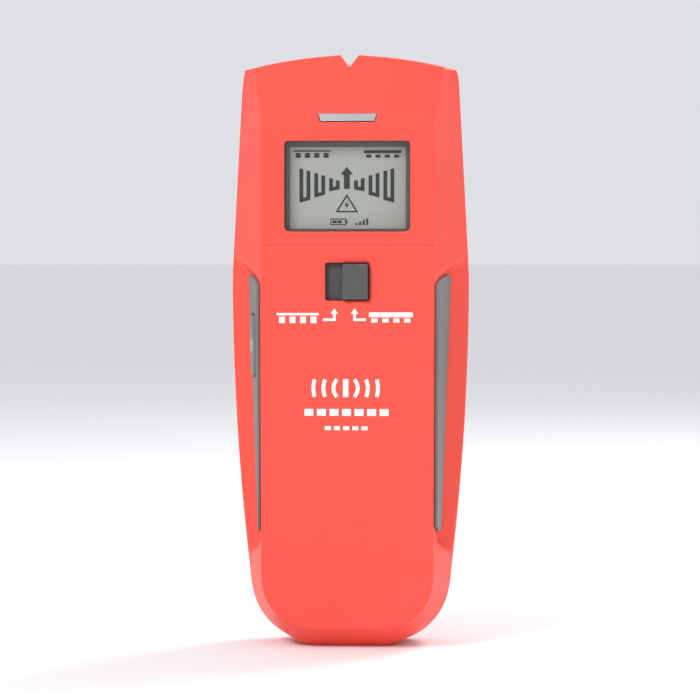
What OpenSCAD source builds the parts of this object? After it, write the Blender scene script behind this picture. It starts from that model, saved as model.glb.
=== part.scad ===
// Handheld stud finder: display head, slide switch, side button and a 9 V battery in the grip.
// Every piece is drawn lying on its back: x across, y from the handle end to the tip of the
// head, z from the flat sensing back up to the front panel. stand() then raises the whole
// assembly, so that +Z runs along the length and the front panel faces -Y. Lengths are in mm.

/* [Body] */
// Length from the handle end to the tip of the head
length = 166; // [156:1:176]
// Width at the belly, the widest place, just above the finger scoops
width = 67; // [65:0.5:72]
// Thickness from the sensing back to the front panel
depth = 28; // [28:0.5:32]
// Height of the joint between the two casings above the sensing back
seam = 11; // [10:0.5:12]
// Distance of the belly from the handle end
belly_y = 104; // [98:1:108]
// Radius of the two lower corners of the outline
corner_r = 18.5; // [16:0.5:20]
// Rise of the curved top edge from its corners to its middle
top_rise = 3.8; // [1:0.1:5]
// Width of the sight notch in the top edge
notch_w = 5.2; // [3:0.1:6]
// Depth of the sight notch
notch_d = 3.7; // [2:0.1:4]

/* [Front panel] */
// Half width of the flat front panel
panel_w = 24; // [23:0.25:24.5]
// Distance of the panel's lower edge from the handle end
panel_y = 5.5; // [4:0.5:8]
// Radius of the panel's lower corners
panel_r = 14; // [8:0.5:18]
// Where the sloping nose starts, from the handle end
nose_y = 145.7; // [144:0.1:147]
// Thickness of the casing at the tip of the nose
nose_z = 16.3; // [15:0.1:18]
// Distance of the crease across the panel from the handle end
crease_y = 112.5; // [111:0.5:114]

/* [Display] */
// Width of the display opening
lcd_w = 35; // [30:0.5:36]
// Height of the display opening
lcd_h = 25; // [20:0.5:26]
// Distance of the display's middle from the handle end
lcd_y = 129; // [128:0.5:130]
// How far the clear window lies below the panel
lcd_recess = 1.2; // [0.6:0.1:1.6]

/* [Indicator] */
// Width of the indicator slot at its upper edge
slot_w = 16.7; // [10:0.1:18]
// Height of the indicator slot
slot_h = 2.4; // [1.6:0.1:3]
// Distance of the slot's lower edge from the handle end
slot_y = 146.9; // [146.2:0.1:147.5]

/* [Mode switch] */
// Width of the switch opening
mode_w = 12; // [11:0.1:13]
// Height of the switch opening
mode_h = 10.3; // [8:0.1:11]
// Distance of the switch's middle from the handle end
mode_y = 102.4; // [101:0.1:103]
// Width of the raised block of the knob
knob_w = 7.1; // [6:0.1:7.5]
// How far the knob stands above the panel
knob_rise = 1.1; // [0.4:0.1:2]

/* [Grips and power button] */
// Lower end of the finger scoops, from the handle end
scoop_y = 29; // [27:0.5:32]
// Height of the ledge along the bottom of the scoop, above the back
ledge_z = 16; // [15:0.5:17]
// Thickness of the rubber strips
grip_t = 0.95; // [0.7:0.05:1.2]
// Length of the power button along the body
power_l = 17; // [12:0.5:18]
// Distance of the power button's middle from the handle end
power_y = 84.5; // [82:0.5:88]
// Travel of the power button
power_travel = 0.8; // [0.4:0.1:0.9]

/* [Battery and door] */
// Width of the battery
cell_w = 26.5; // [25.5:0.1:26.5]
// Thickness of the battery
cell_t = 17.5; // [16.5:0.1:17.5]
// Length of the battery case without its terminals
cell_l = 46; // [44:0.5:46]
// Half width of the door opening
door_w = 14; // [13.8:0.1:14.2]
// Distance of the door's pivot pins from the handle end
pivot_y = 60.6; // [60:0.1:61]

/* [Boards and screws] */
// Thickness of the circuit boards
board_t = 1.6; // [1:0.1:1.6]
// Height of the main board's front face above the back
board_z = 19.1; // [19:0.1:19.3]
// Shank radius of the casing screws
screw_r = 1.2; // [1:0.1:1.3]
// Shank radius of the board screws
small_r = 0.9; // [0.7:0.1:1]
// Curve quality of drawn circles
$fn = 64; // [48:8:96]

/* [Hidden] */

corner_x = 9.8;                      // middle of each lower corner
rim = 1;                             // height of the upright rim above the seam
foot_z = 20.5;                       // how far the flat foot reaches towards the front
inner_z = depth - 2;                 // inside of the front panel
bulge = pow(belly_y - corner_r, 2) / (width / 2 - corner_x - corner_r);
head_taper = 0.0536;
nose_slope = atan((depth - nose_z) / (length - 0.4 - nose_y));
gap = 0.15;                          // clearance between moving pieces
knob_x0 = mode_w / 2 - gap - knob_w; // left side of the knob at rest
mode_travel = mode_w - 2 * gap - knob_w;
lever_x = knob_x0 + knob_w / 2;
scoop_end = 112;
post = [[20.5, 30], [24, 152]];      // casing screws, mirrored to the other side
stud = [[18, 70], [18, 147]];        // board screws, mirrored to the other side
post_r = 2.6;                        // hollow posts that take the casing screws
stud_r = 2.2;                        // hollow studs that take the board screws
bezel = 2;                           // shallow border round the switch opening
bezel_d = 0.35;
crease_w = 0.5;
crease_d = 0.4;
relief_w = 10;                       // thumb relief below the battery door
power_z = 21.5;                      // middle of the power button above the back
power_w = 6;
plunger_z = 21.4;                    // axis of the switch behind the button
stake_y = [114, 153];                // stakes of the sensor board
cell_y = 8.5;                        // lower end of the battery
cell_z = 2.5;                        // back face of the battery
pole_x = 6.35;                       // terminals, either side of the middle
pole_z = cell_z + cell_t / 2;
pivot_z = 1.6;
clip_y = cell_y + cell_l + 2.7;
sensor_z = 3;                        // back face of the sensor board
head_y = 111.4;                      // row of pins that joins the boards
pin_x = [for (i = [-2.5 : 1 : 2.5]) i * 2.54];

// Half width of the outline at a distance y from the handle end
function half_w(y) = y < belly_y
    ? width / 2 - pow(belly_y - y, 2) / bulge
    : width / 2 - (y - belly_y) * head_taper;

// Curved top edge at a distance x from the middle
function top_y(x) = length - top_rise * pow(x / 28.5, 2);

// Right half of the outline, drawn in by d, from the foot to the tip
function half_outline(d) = concat(
    [for (a = [-90 : 10 : -10]) [corner_x, corner_r] + (corner_r - d) * [cos(a), sin(a)]],
    [for (y = [26 : 13 : 104]) [half_w(y) - d, y]],
    [[half_w(length - 5.8) - d, length - 5.8 - d], [29.9 - d, length - 4.4 - d]],
    [for (x = [28 : -7 : 0]) [max(x - d, 0), top_y(x) - d]]);

// A right half and its mirror image as one closed loop
function both(h) = concat(h, [for (i = [len(h) - 1 : -1 : 0]) if (h[i][0] > 0) [-h[i][0], h[i][1]]]);

function outline(d) = both(half_outline(d));

// Outline drawn in by d and cut off at the half width w and the height y
function clipped(d, w, y) = both(concat(
    [for (p = half_outline(d)) if (p[1] < y) [min(p[0], w), p[1]]],
    [[min(half_w(y) - d, w), y]]));

// Flat front panel drawn in by d
function panel(d, y) = both(concat(
    [for (a = [-90 : 15 : 0]) [panel_w - panel_r, panel_y + panel_r] + (panel_r - d) * [cos(a), sin(a)]],
    [[panel_w - d, y]]));

// Casing wall at the foot of the scoop and its height line
function wall_x(y) = 24.85 + 3.15 * (y - 28) / 82;

// Stakes of the sensor board stand closer together where the head narrows
function stake_x(y) = y < lcd_y ? 22 : 16;

// Half width of the scoop wall at the height z, standing out by t
function scoop_x(y, z, t) = 24.1 + (wall_x(y) - 24.1) * (depth - z) / (depth - ledge_z) + t;

module stand() {
    translate([0, (depth + knob_rise) / 2, 0]) rotate([90, 0, 0]) children();
}

module slab(z, h, points) {
    translate([0, 0, z]) linear_extrude(h) polygon(points);
}

// A pair of children, one each side of the middle
module pair() {
    children();
    mirror([1, 0, 0]) children();
}

// A cylinder lying along x, starting at x and l long
module rod_x(x, y, z, r, l) {
    translate([x, y, z]) rotate([0, 90, 0]) cylinder(r = r, h = l);
}

// A cylinder lying along y, starting at y and l long
module rod_y(x, y, z, r, l) {
    translate([x, y, z]) rotate([-90, 0, 0]) cylinder(r = r, h = l);
}

// Rounded rectangle in the y-z plane, pushed out along x
module pill_x(x, l, y, z, w, h, r) {
    translate([x, y, z]) rotate([90, 0, 90]) linear_extrude(l) union() {
        square([w, h - 2 * r], center = true);
        square([w - 2 * r, h], center = true);
        for (i = [-1, 1], j = [-1, 1]) translate([i * (w / 2 - r), j * (h / 2 - r)]) circle(r);
    }
}

// Cross-section in x and z, carried along y from y0 to y1
module along_y(y0, y1, points) {
    translate([0, y1, 0]) rotate([90, 0, 0]) linear_extrude(y1 - y0) polygon(points);
}

// ---------------------------------------------------------------- casings

module front_form() {
    hull() {
        slab(seam + 0.1, rim - 0.1, outline(0));
        slab(depth - 0.05, 0.05, panel(0, nose_y));
        slab(nose_z - 0.05, 0.05, both([for (x = [26.6, 20, 13, 6, 0]) [x, top_y(x) - 0.4]]));
        translate([-corner_x, 0, seam + 0.1]) cube([2 * corner_x, 1, foot_z - seam]);
    }
}

module front_hollow() {
    hull() {
        slab(seam - 0.5, 0.6, clipped(3, 24, 110));
        slab(inner_z - 0.05, 0.05, clipped(8, 21.5, 110));
    }
    hull() {
        slab(seam - 0.5, 0.6, both([[30.2, 109.5], [28.3, 156], [26, 160], [0, 160.3]]));
        slab(inner_z - 0.05, 0.05, both([[21.6, 109.5], [21.6, 144.3]]));
        slab(17, 0.05, both([[24.2, 150], [24.2, 159.5]]));
    }
}

// Space taken out of the side facet for the fingers
module scoop() {
    intersection() {
        hull() for (y = [20, 114]) along_y(y, y + 0.1, [
            [scoop_x(y, depth + 1, 0), depth + 1],
            [wall_x(y), ledge_z],
            [wall_x(y) + 12, ledge_z - 7.6],
            [wall_x(y) + 12, depth + 1]]);
        slab(seam + 1.05, 20, [[20, scoop_y], [24.8, scoop_y], [38, scoop_y - 5], [38, scoop_end],
            [33.5, 110.3], [30.5, 109], [27.5, 107], [25.4, 104.6], [24.6, 103], [20, 103]]);
    }
}

module front_casing() color([0.84, 0.16, 0.12]) {
    difference() {
        union() {
            difference() {
                front_form();
                front_hollow();
            }
            pair() for (p = post) translate([p[0], p[1], seam + 0.1]) cylinder(r = post_r, h = 8.4);
            pair() for (p = stud) translate([p[0], p[1], board_z])
                cylinder(r = stud_r, h = p[1] < nose_y ? inner_z - board_z + 0.1 : 5.8);
            pair() translate([6, 12, 21.6]) cube([1.2, 44, inner_z - 21.4]);
        }
        pair() scoop();
        pair() for (p = post) translate([p[0], p[1], seam - 0.5]) cylinder(r = screw_r + 0.05, h = 8);
        pair() for (p = stud) translate([p[0], p[1], board_z - 0.5]) cylinder(r = small_r + 0.05, h = 5);
        // display, mode switch and indicator openings
        translate([-lcd_w / 2, lcd_y - lcd_h / 2, inner_z - 2]) cube([lcd_w, lcd_h, 6]);
        translate([-mode_w / 2, mode_y - mode_h / 2, inner_z - 2]) cube([mode_w, mode_h, 6]);
        translate([-mode_w / 2 - bezel, mode_y - mode_h / 2 - bezel, depth - bezel_d])
            cube([mode_w + 2 * bezel, mode_h + 2 * bezel, 1]);
        slab(20, 10, slot_shape(0));
        // power button opening in the left wall
        pill_x(-32, 12, power_y, power_z, power_l + 0.6, power_w + 0.6, 2.2);
        // crease across the panel and up the side facets
        translate([-panel_w, crease_y - crease_w / 2, depth - crease_d]) cube([2 * panel_w, crease_w, 1]);
        pair() translate([panel_w - 0.4, crease_y, depth - 0.2]) rotate([0, 60.8, 19.1])
            translate([0, -crease_w / 2, -crease_d]) cube([22, crease_w, 1]);
        // fine grooves along both sides of the panel
        pair() translate([23.1, 32, depth - 0.3]) cube([0.4, 70, 1]);
        notch();
    }
}

module notch() {
    w = notch_w / 2 + 0.8;
    slab(-1, depth + 2, [[0, length - notch_d], [w, length + 1.1], [-w, length + 1.1]]);
}

module rear_form() {
    hull() {
        slab(seam - 1.1, 1, outline(0));
        slab(1.6, 0.05, outline(1.4));
        slab(0, 0.05, outline(3));
        translate([-corner_x, 0, 0.8]) cube([2 * corner_x, 1, seam - 0.9]);
    }
}

module rear_casing() color([0.80, 0.15, 0.11]) {
    difference() {
        union() {
            difference() {
                rear_form();
                hull() {
                    slab(seam - 0.6, 1, clipped(2.4, 40, 160));
                    slab(2, 0.05, clipped(5, 40, 158));
                }
            }
            pair() for (p = post) translate([p[0], p[1], 1]) cylinder(r = 3.5, h = seam - 1);
            // bay walls either side of the battery and across its upper end
            pair() translate([door_w + 0.2, 8, 1]) cube([1.2, 56.4, 17]);
            translate([-door_w - 1, 63.2, 1]) cube([2 * door_w + 2, 1.2, 8]);
            pair() translate([door_w + 0.2, 58, 1]) cube([2.8, 6.4, 3.2]);
            // rests and stakes for the sensor board
            pair() for (y = stake_y) translate([stake_x(y), y, 1]) {
                cylinder(r = 2, h = sensor_z - 1);
                cylinder(r = 0.95, h = 4.6);
            }
        }
        pair() for (p = post) translate([p[0], p[1], -1]) {
            cylinder(r = 2.7, h = 5.8);
            cylinder(r = screw_r + 0.1, h = 20);
        }
        // door opening with the two pivot sockets
        translate([-door_w, 7, -1]) cube([2 * door_w, 56.2, 3.5]);
        pair() rod_x(door_w - 0.5, pivot_y, pivot_z, 0.95, 2.8);
        // thumb relief below the door and a shallow bed for the label
        translate([-relief_w / 2, 5, -1]) cube([relief_w, 3, 3.5]);
        translate([-20, 116, -1]) cube([40, 28, 1.35]);
        notch();
    }
}

module battery_door() color([0.78, 0.14, 0.11]) {
    difference() {
        union() {
            translate([-door_w + 0.3, 7.3, 0.15]) cube([2 * door_w - 0.6, pivot_y - 6.1, 1.75]);
            // ribs that keep the plate flat
            pair() translate([8, 14, 1.85]) cube([1, 40, 0.5]);
            rod_x(-door_w - 2, pivot_y, pivot_z, 0.88, 2 * door_w + 4);
            translate([-4, 5.6, 1.15]) cube([8, 2, 0.75]);
        }
        // thumb dish and grip lines
        translate([0, 15, -6.6]) sphere(r = 7.6);
        for (i = [0 : 3]) translate([-7, 20 + 2 * i, -0.1]) cube([14, 0.8, 0.6]);
    }
}

module rear_label() color([0.82, 0.82, 0.80]) {
    translate([-19.8, 116.2, 0.1]) cube([39.6, 27.6, 0.25]);
}

// ---------------------------------------------------------------- display

module display_window() color([0.75, 0.80, 0.80, 0.5]) {
    translate([-lcd_w / 2 - 2, lcd_y - lcd_h / 2 - 2, inner_z - 1.2])
        cube([lcd_w + 4, lcd_h + 4, 1.2]);
    translate([-lcd_w / 2 + 0.1, lcd_y - lcd_h / 2 + 0.1, inner_z - 0.1])
        cube([lcd_w - 0.2, lcd_h - 0.2, 2.1 - lcd_recess]);
}

module display_gasket() color([0.12, 0.12, 0.12]) {
    translate([0, lcd_y, inner_z - 2]) linear_extrude(0.8) difference() {
        square([lcd_w + 4, lcd_h + 4], center = true);
        square([lcd_w + 1, lcd_h + 1], center = true);
    }
}

module lcd_glass() color([0.62, 0.66, 0.60]) {
    translate([-lcd_w / 2 - 1.5, lcd_y - lcd_h / 2 - 1.5, inner_z - 4.2]) cube([lcd_w + 3, lcd_h + 3, 2.2]);
}

module lcd_frame() color([0.90, 0.90, 0.88]) {
    translate([0, lcd_y, board_z]) linear_extrude(4.4) difference() {
        square([lcd_w + 6.6, lcd_h + 6.4], center = true);
        square([lcd_w + 3.2, lcd_h + 3.2], center = true);
    }
}

module zebra_strips() color([0.78, 0.45, 0.55]) {
    for (s = [-1, 1]) translate([-lcd_w / 2, lcd_y + s * (lcd_h / 2 + 0.2) - 1, board_z])
        cube([lcd_w, 2, inner_z - 4.2 - board_z]);
}

// Slot on the nose, wider at its upper edge, drawn in by d
function slot_shape(d) = [[-slot_w / 2 + 0.85 + d, slot_y + d], [slot_w / 2 - 0.85 - d, slot_y + d],
    [slot_w / 2 - d, slot_y + slot_h - d], [-slot_w / 2 + d, slot_y + slot_h - d]];

module indicator_lens() color([0.85, 0.85, 0.84]) {
    difference() {
        union() {
            slab(21.9, 8, slot_shape(0.08));
            translate([-9.5, slot_y - 1.2, 21.9]) cube([19, 4.2, 0.6]);
        }
        translate([-20, nose_y, depth - 0.1]) rotate([-nose_slope, 0, 0])
            translate([0, -20, 0]) cube([40, 60, 20]);
    }
}

module indicator_leds() color([0.92, 0.86, 0.80]) {
    for (x = [-5, 0, 5]) translate([x, slot_y + slot_h / 2, board_z]) {
        translate([-1.6, -1.1, 0]) cube([3.2, 2.2, 1.6]);
        cylinder(r = 0.9, h = 2.6);
    }
}

// ---------------------------------------------------------------- mode switch

module mode_knob() color([0.30, 0.30, 0.30]) {
    difference() {
        union() {
            translate([knob_x0, mode_y - mode_h / 2 + gap, 24.3])
                cube([knob_w, mode_h - 2 * gap, depth + knob_rise - 24.3]);
            // cover plate that hides the opening in both positions
            translate([-mode_w / 2 - 0.7, mode_y - 6.8, 24.3]) cube([mode_w + mode_travel + 1.4, 13.6, 1.3]);
        }
        // thumb groove and the pocket for the lever
        rod_y(knob_x0 + knob_w / 2, mode_y - 8, depth + knob_rise + 2.6, 3.4, 16);
        translate([lever_x - 1.1, mode_y - 1.1, 23]) cube([2.2, 2.2, 2.1]);
    }
}

module mode_switch_body() color([0.75, 0.76, 0.78]) {
    difference() {
        translate([-7.5, mode_y - 3.6, board_z]) cube([15, 7.2, 3.5]);
        translate([-lever_x - 1.4, mode_y - 1.3, board_z + 1.4]) cube([2 * lever_x + 2.8, 2.6, 3]);
    }
    for (x = [-5, 0, 5], s = [-1, 1])
        translate([x - 0.3, mode_y + s * 4 - 0.6, board_z]) cube([0.6, 1.2, 0.8]);
}

module mode_switch_lever() color([0.15, 0.15, 0.15]) {
    translate([lever_x - 1, mode_y - 1, board_z + 1.6]) cube([2, 2, 4.2]);
}

// ---------------------------------------------------------------- grips and power button

// Rubber strip on the right scoop wall
module strip() {
    intersection() {
        hull() for (y = [20, 114]) along_y(y, y + 0.1, [
            [scoop_x(y, depth - 1, 0.02), depth - 1],
            [scoop_x(y, depth - 1, grip_t), depth - 1],
            [scoop_x(y, ledge_z + 0.15, grip_t), ledge_z + 0.15],
            [scoop_x(y, ledge_z + 0.15, 0.02), ledge_z + 0.15]]);
        slab(ledge_z - 1, 14, [[23.5, 38], [24.9, 31.5], [26.4, 33], [30, 44], [30.5, 100], [29.4, 103.8],
            [27.2, 104.6], [25.6, 103], [24.9, 101], [23.5, 101]]);
    }
}

module left_grip() color([0.40, 0.40, 0.39]) {
    difference() {
        mirror([1, 0, 0]) strip();
        pill_x(-32, 12, power_y, power_z, power_l + 0.6, power_w + 0.6, 2.2);
    }
}

module right_grip() color([0.40, 0.40, 0.39]) {
    strip();
}

module power_button() color([0.44, 0.44, 0.43]) {
    x0 = scoop_x(power_y, 18.5, grip_t + 0.7);
    x1 = scoop_x(power_y, 24.5, grip_t + 0.7);
    intersection() {
        pill_x(-32, 12, power_y, power_z, power_l, power_w, 2);
        along_y(power_y - 10, power_y + 10, [[-20.6, 17], [-20.6, 26], [-x1, 24.5], [-x0, 18.5], [-x0, 17]]);
    }
    // flange inside the wall and the nub that meets the plunger
    pill_x(-21.4, 0.9, power_y, plunger_z, power_l + 2, 7.6, 2);
    rod_x(-20.6, power_y, plunger_z, 1.5, 1.1);
}

module power_switch_body() color([0.16, 0.16, 0.17]) {
    difference() {
        translate([-17.6, power_y - 3, board_z]) cube([4.2, 6, 4.4]);
        rod_x(-18, power_y, plunger_z, 1.3, 1.8 + power_travel);
    }
    for (s = [-1, 1]) translate([-13.4, power_y + s * 2 - 0.35, board_z]) cube([1.2, 0.7, 0.6]);
}

module power_switch_plunger() color([0.85, 0.80, 0.60]) {
    rod_x(-19.5, power_y, plunger_z, 1.22, 3.2);
}

// ---------------------------------------------------------------- boards

module main_board() color([0.08, 0.35, 0.20]) {
    difference() {
        translate([-21, 64.8, board_z - board_t]) cube([42, 87.7, board_t]);
        translate([-22, power_y - 11, board_z - 3]) cube([4.3, 22, 4]);
        pair() for (p = stud) translate([p[0], p[1], board_z - 3]) cylinder(r = small_r + 0.1, h = 4);
        for (x = pin_x) translate([x, head_y, board_z - 3]) cylinder(r = 0.42, h = 4);
    }
}

// Leads along two sides of a chip whose middle is at x, y
module legs(x, y, w, z, n, pitch) {
    for (i = [0 : n - 1], s = [-1, 1])
        translate([x + s * (w + 0.9) / 2 - 0.55, y + (i - (n - 1) / 2) * pitch - 0.15, z])
            cube([1.1, 0.3, 0.3]);
}

module microcontroller() color([0.10, 0.10, 0.11]) {
    translate([-2, 77, board_z]) cube([10, 10, 1.5]);
    legs(3, 82, 10, board_z + 0.05, 8, 1);
}

module amplifier_chips() color([0.11, 0.11, 0.12]) {
    for (y = [124, 136]) {
        translate([-12, y - 2.5, board_z - board_t - 1.6]) cube([4, 5, 1.6]);
        legs(-10, y, 4, board_z - board_t - 0.35, 4, 1.27);
    }
}

module buzzer() color([0.13, 0.13, 0.14]) {
    difference() {
        translate([9, 98, board_z - board_t - 5.5]) cylinder(r = 6, h = 5.5);
        translate([9, 98, board_z - board_t - 6]) cylinder(r = 1.1, h = 2.5);
    }
}

module sensor_board() color([0.10, 0.30, 0.45]) {
    difference() {
        slab(sensor_z, board_t, both([[25, 108.5], [26.5, 110.5], [25.5, 146], [20, 157], [0, 157]]));
        pair() for (y = stake_y) translate([stake_x(y), y, 1]) cylinder(r = 1.03, h = 6);
        pair() translate([24, 152, 1]) cylinder(r = 4, h = 6);
        for (x = pin_x) translate([x, head_y, 1]) cylinder(r = 0.42, h = 6);
    }
}

module sensor_pads() color([0.80, 0.50, 0.28]) {
    translate([-4, 118, sensor_z - 0.1]) cube([8, 34, 0.1]);
    pair() translate([7, 120, sensor_z - 0.1]) cube([13, 30, 0.1]);
}

module board_header() color([0.12, 0.12, 0.12]) {
    difference() {
        translate([-7.9, head_y - 1.3, sensor_z + board_t]) cube([15.8, 2.6, 12.8]);
        for (x = pin_x) translate([x, head_y, 4]) cylinder(r = 0.36, h = 16);
    }
    for (x = pin_x) translate([x, head_y, sensor_z - 0.6]) cylinder(r = 0.36, h = 17.2);
}

// ---------------------------------------------------------------- battery

module battery_case() color([0.20, 0.22, 0.26]) {
    translate([0, cell_y, pole_z]) rotate([-90, 0, 0]) linear_extrude(cell_l) union() {
        square([cell_w, cell_t - 4], center = true);
        square([cell_w - 4, cell_t], center = true);
        for (i = [-1, 1], j = [-1, 1]) translate([i * (cell_w / 2 - 2), j * (cell_t / 2 - 2)]) circle(2);
    }
}

// Socket ring and stud of a snap terminal pair, the socket at sx times pole_x
module snaps(sx, y, h) {
    difference() {
        rod_y(sx * pole_x, y, pole_z, 4.2, h);
        rod_y(sx * pole_x, y - 1, pole_z, 2.95, h + 2);
    }
    rod_y(-sx * pole_x, y, pole_z, 2.87, h);
}

module battery_terminals() color([0.72, 0.72, 0.70]) {
    snaps(-1, cell_y + cell_l, 2.6);
}

module clip_contacts() color([0.78, 0.76, 0.70]) {
    snaps(1, cell_y + cell_l + 0.1, 2.6);
}

module battery_clip() color([0.10, 0.10, 0.10]) {
    difference() {
        translate([-12.8, clip_y, pole_z - 6.2]) cube([25.6, 2.6, 12.4]);
        pair() rod_y(pole_x, clip_y - 1, pole_z, 1.2, 2);
    }
}

// Lead from the clip along y and then up to the board
module lead(x) {
    rod_y(x, clip_y + 2.6, 12.5, 0.6, 67.5 - clip_y - 2.6);
    translate([x, 67.5, 14.5]) rotate([0, 90, 0]) rotate_extrude(angle = 90) translate([2, 0]) circle(0.6);
    translate([x, 69.5, 14.5]) cylinder(r = 0.6, h = board_z - board_t - 14.5);
}

module positive_lead() color([0.75, 0.10, 0.08]) {
    lead(5);
}

module negative_lead() color([0.06, 0.06, 0.06]) {
    lead(-5);
}

module battery_foam() color([0.25, 0.25, 0.26]) {
    translate([-10, 14, cell_z + cell_t + 0.05]) cube([20, 36, 1.5]);
}

// ---------------------------------------------------------------- screws

module casing_screws() color([0.70, 0.70, 0.70]) {
    pair() for (p = post) translate([p[0], p[1], 3]) difference() {
        union() {
            cylinder(r = 2.4, h = 1.8);
            cylinder(r = screw_r, h = 14);
        }
        for (a = [0, 90]) rotate(a) translate([-1.5, -0.25, -0.5]) cube([3, 0.5, 1.5]);
    }
}

module board_screws() color([0.72, 0.72, 0.70]) {
    pair() for (p = stud) translate([p[0], p[1], board_z - board_t - 1.2]) difference() {
        union() {
            cylinder(r = 1.8, h = 1.2);
            cylinder(r = small_r, h = 6);
        }
        for (a = [0, 90]) rotate(a) translate([-1.1, -0.2, -0.5]) cube([2.2, 0.4, 1.1]);
    }
}

// ---------------------------------------------------------------- assembly

stand() {
    front_casing();
    rear_casing();
    battery_door();
    rear_label();
    display_window();
    display_gasket();
    lcd_glass();
    lcd_frame();
    zebra_strips();
    indicator_lens();
    indicator_leds();
    mode_knob();
    mode_switch_body();
    mode_switch_lever();
    left_grip();
    right_grip();
    power_button();
    power_switch_body();
    power_switch_plunger();
    main_board();
    microcontroller();
    amplifier_chips();
    buzzer();
    sensor_board();
    sensor_pads();
    board_header();
    battery_case();
    battery_terminals();
    clip_contacts();
    battery_clip();
    positive_lead();
    negative_lead();
    battery_foam();
    casing_screws();
    board_screws();
}
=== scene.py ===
"""Handheld stud finder: the finished look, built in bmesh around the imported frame.

Sizes are millimetres in the maker's lying frame: x across, y from the handle end to the tip,
z from the flat sensing back up to the front panel. stand() turns a lying point into the frame.
"""
import logging
import math
from dataclasses import dataclass, field
from enum import Enum
from typing import Callable, Iterable, Sequence

import bmesh
import bpy
from mathutils import Matrix, Vector


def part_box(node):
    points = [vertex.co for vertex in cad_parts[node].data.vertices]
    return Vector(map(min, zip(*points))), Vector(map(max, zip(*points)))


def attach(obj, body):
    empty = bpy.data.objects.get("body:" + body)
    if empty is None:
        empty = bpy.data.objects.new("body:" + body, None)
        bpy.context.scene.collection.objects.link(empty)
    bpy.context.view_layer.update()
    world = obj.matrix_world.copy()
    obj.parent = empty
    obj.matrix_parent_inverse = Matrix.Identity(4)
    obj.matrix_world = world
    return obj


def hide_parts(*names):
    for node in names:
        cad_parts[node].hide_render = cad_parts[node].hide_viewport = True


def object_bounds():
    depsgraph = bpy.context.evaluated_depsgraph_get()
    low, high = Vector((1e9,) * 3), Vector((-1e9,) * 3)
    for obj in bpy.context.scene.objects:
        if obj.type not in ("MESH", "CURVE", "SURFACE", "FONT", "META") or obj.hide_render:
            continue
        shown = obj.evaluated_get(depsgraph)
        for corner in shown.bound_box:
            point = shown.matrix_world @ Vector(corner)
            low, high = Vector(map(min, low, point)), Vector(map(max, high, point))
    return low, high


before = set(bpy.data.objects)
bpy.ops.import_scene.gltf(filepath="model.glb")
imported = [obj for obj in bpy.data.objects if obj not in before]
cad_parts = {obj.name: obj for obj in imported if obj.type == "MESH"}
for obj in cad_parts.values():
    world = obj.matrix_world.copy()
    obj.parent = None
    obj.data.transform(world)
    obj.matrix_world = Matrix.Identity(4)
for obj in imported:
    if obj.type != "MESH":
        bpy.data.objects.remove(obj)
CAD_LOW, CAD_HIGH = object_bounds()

MM = 0.001
BACK_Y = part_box("rear_casing")[1].y / MM

logging.basicConfig(level=logging.INFO, format="%(message)s")
log = logging.getLogger("stud_finder")


def stand(p: Sequence[float]) -> Vector:
    """Turn a lying point in millimetres into a point of the frame in metres."""
    return Vector((p[0], BACK_Y - p[2], p[1])) * MM


def lerp(a: float, b: float, t: float) -> float:
    """Value a fraction t of the way from a to b."""
    return a + (b - a) * t


def smooth(t: float) -> float:
    """Ease from 0 to 1 with level ends."""
    t = min(max(t, 0.0), 1.0)
    return t * t * (3 - 2 * t)


class Side(Enum):
    """The two sides of the tool, as the sign of x."""

    LEFT = -1
    RIGHT = 1


class Body(Enum):
    """Rigid bodies of the frame that the pieces ride on."""

    CASE = "body"
    KNOB = "knob"
    BUTTON = "button"
    DOOR = "door"


# ------------------------------------------------------------------ finishes


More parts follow.
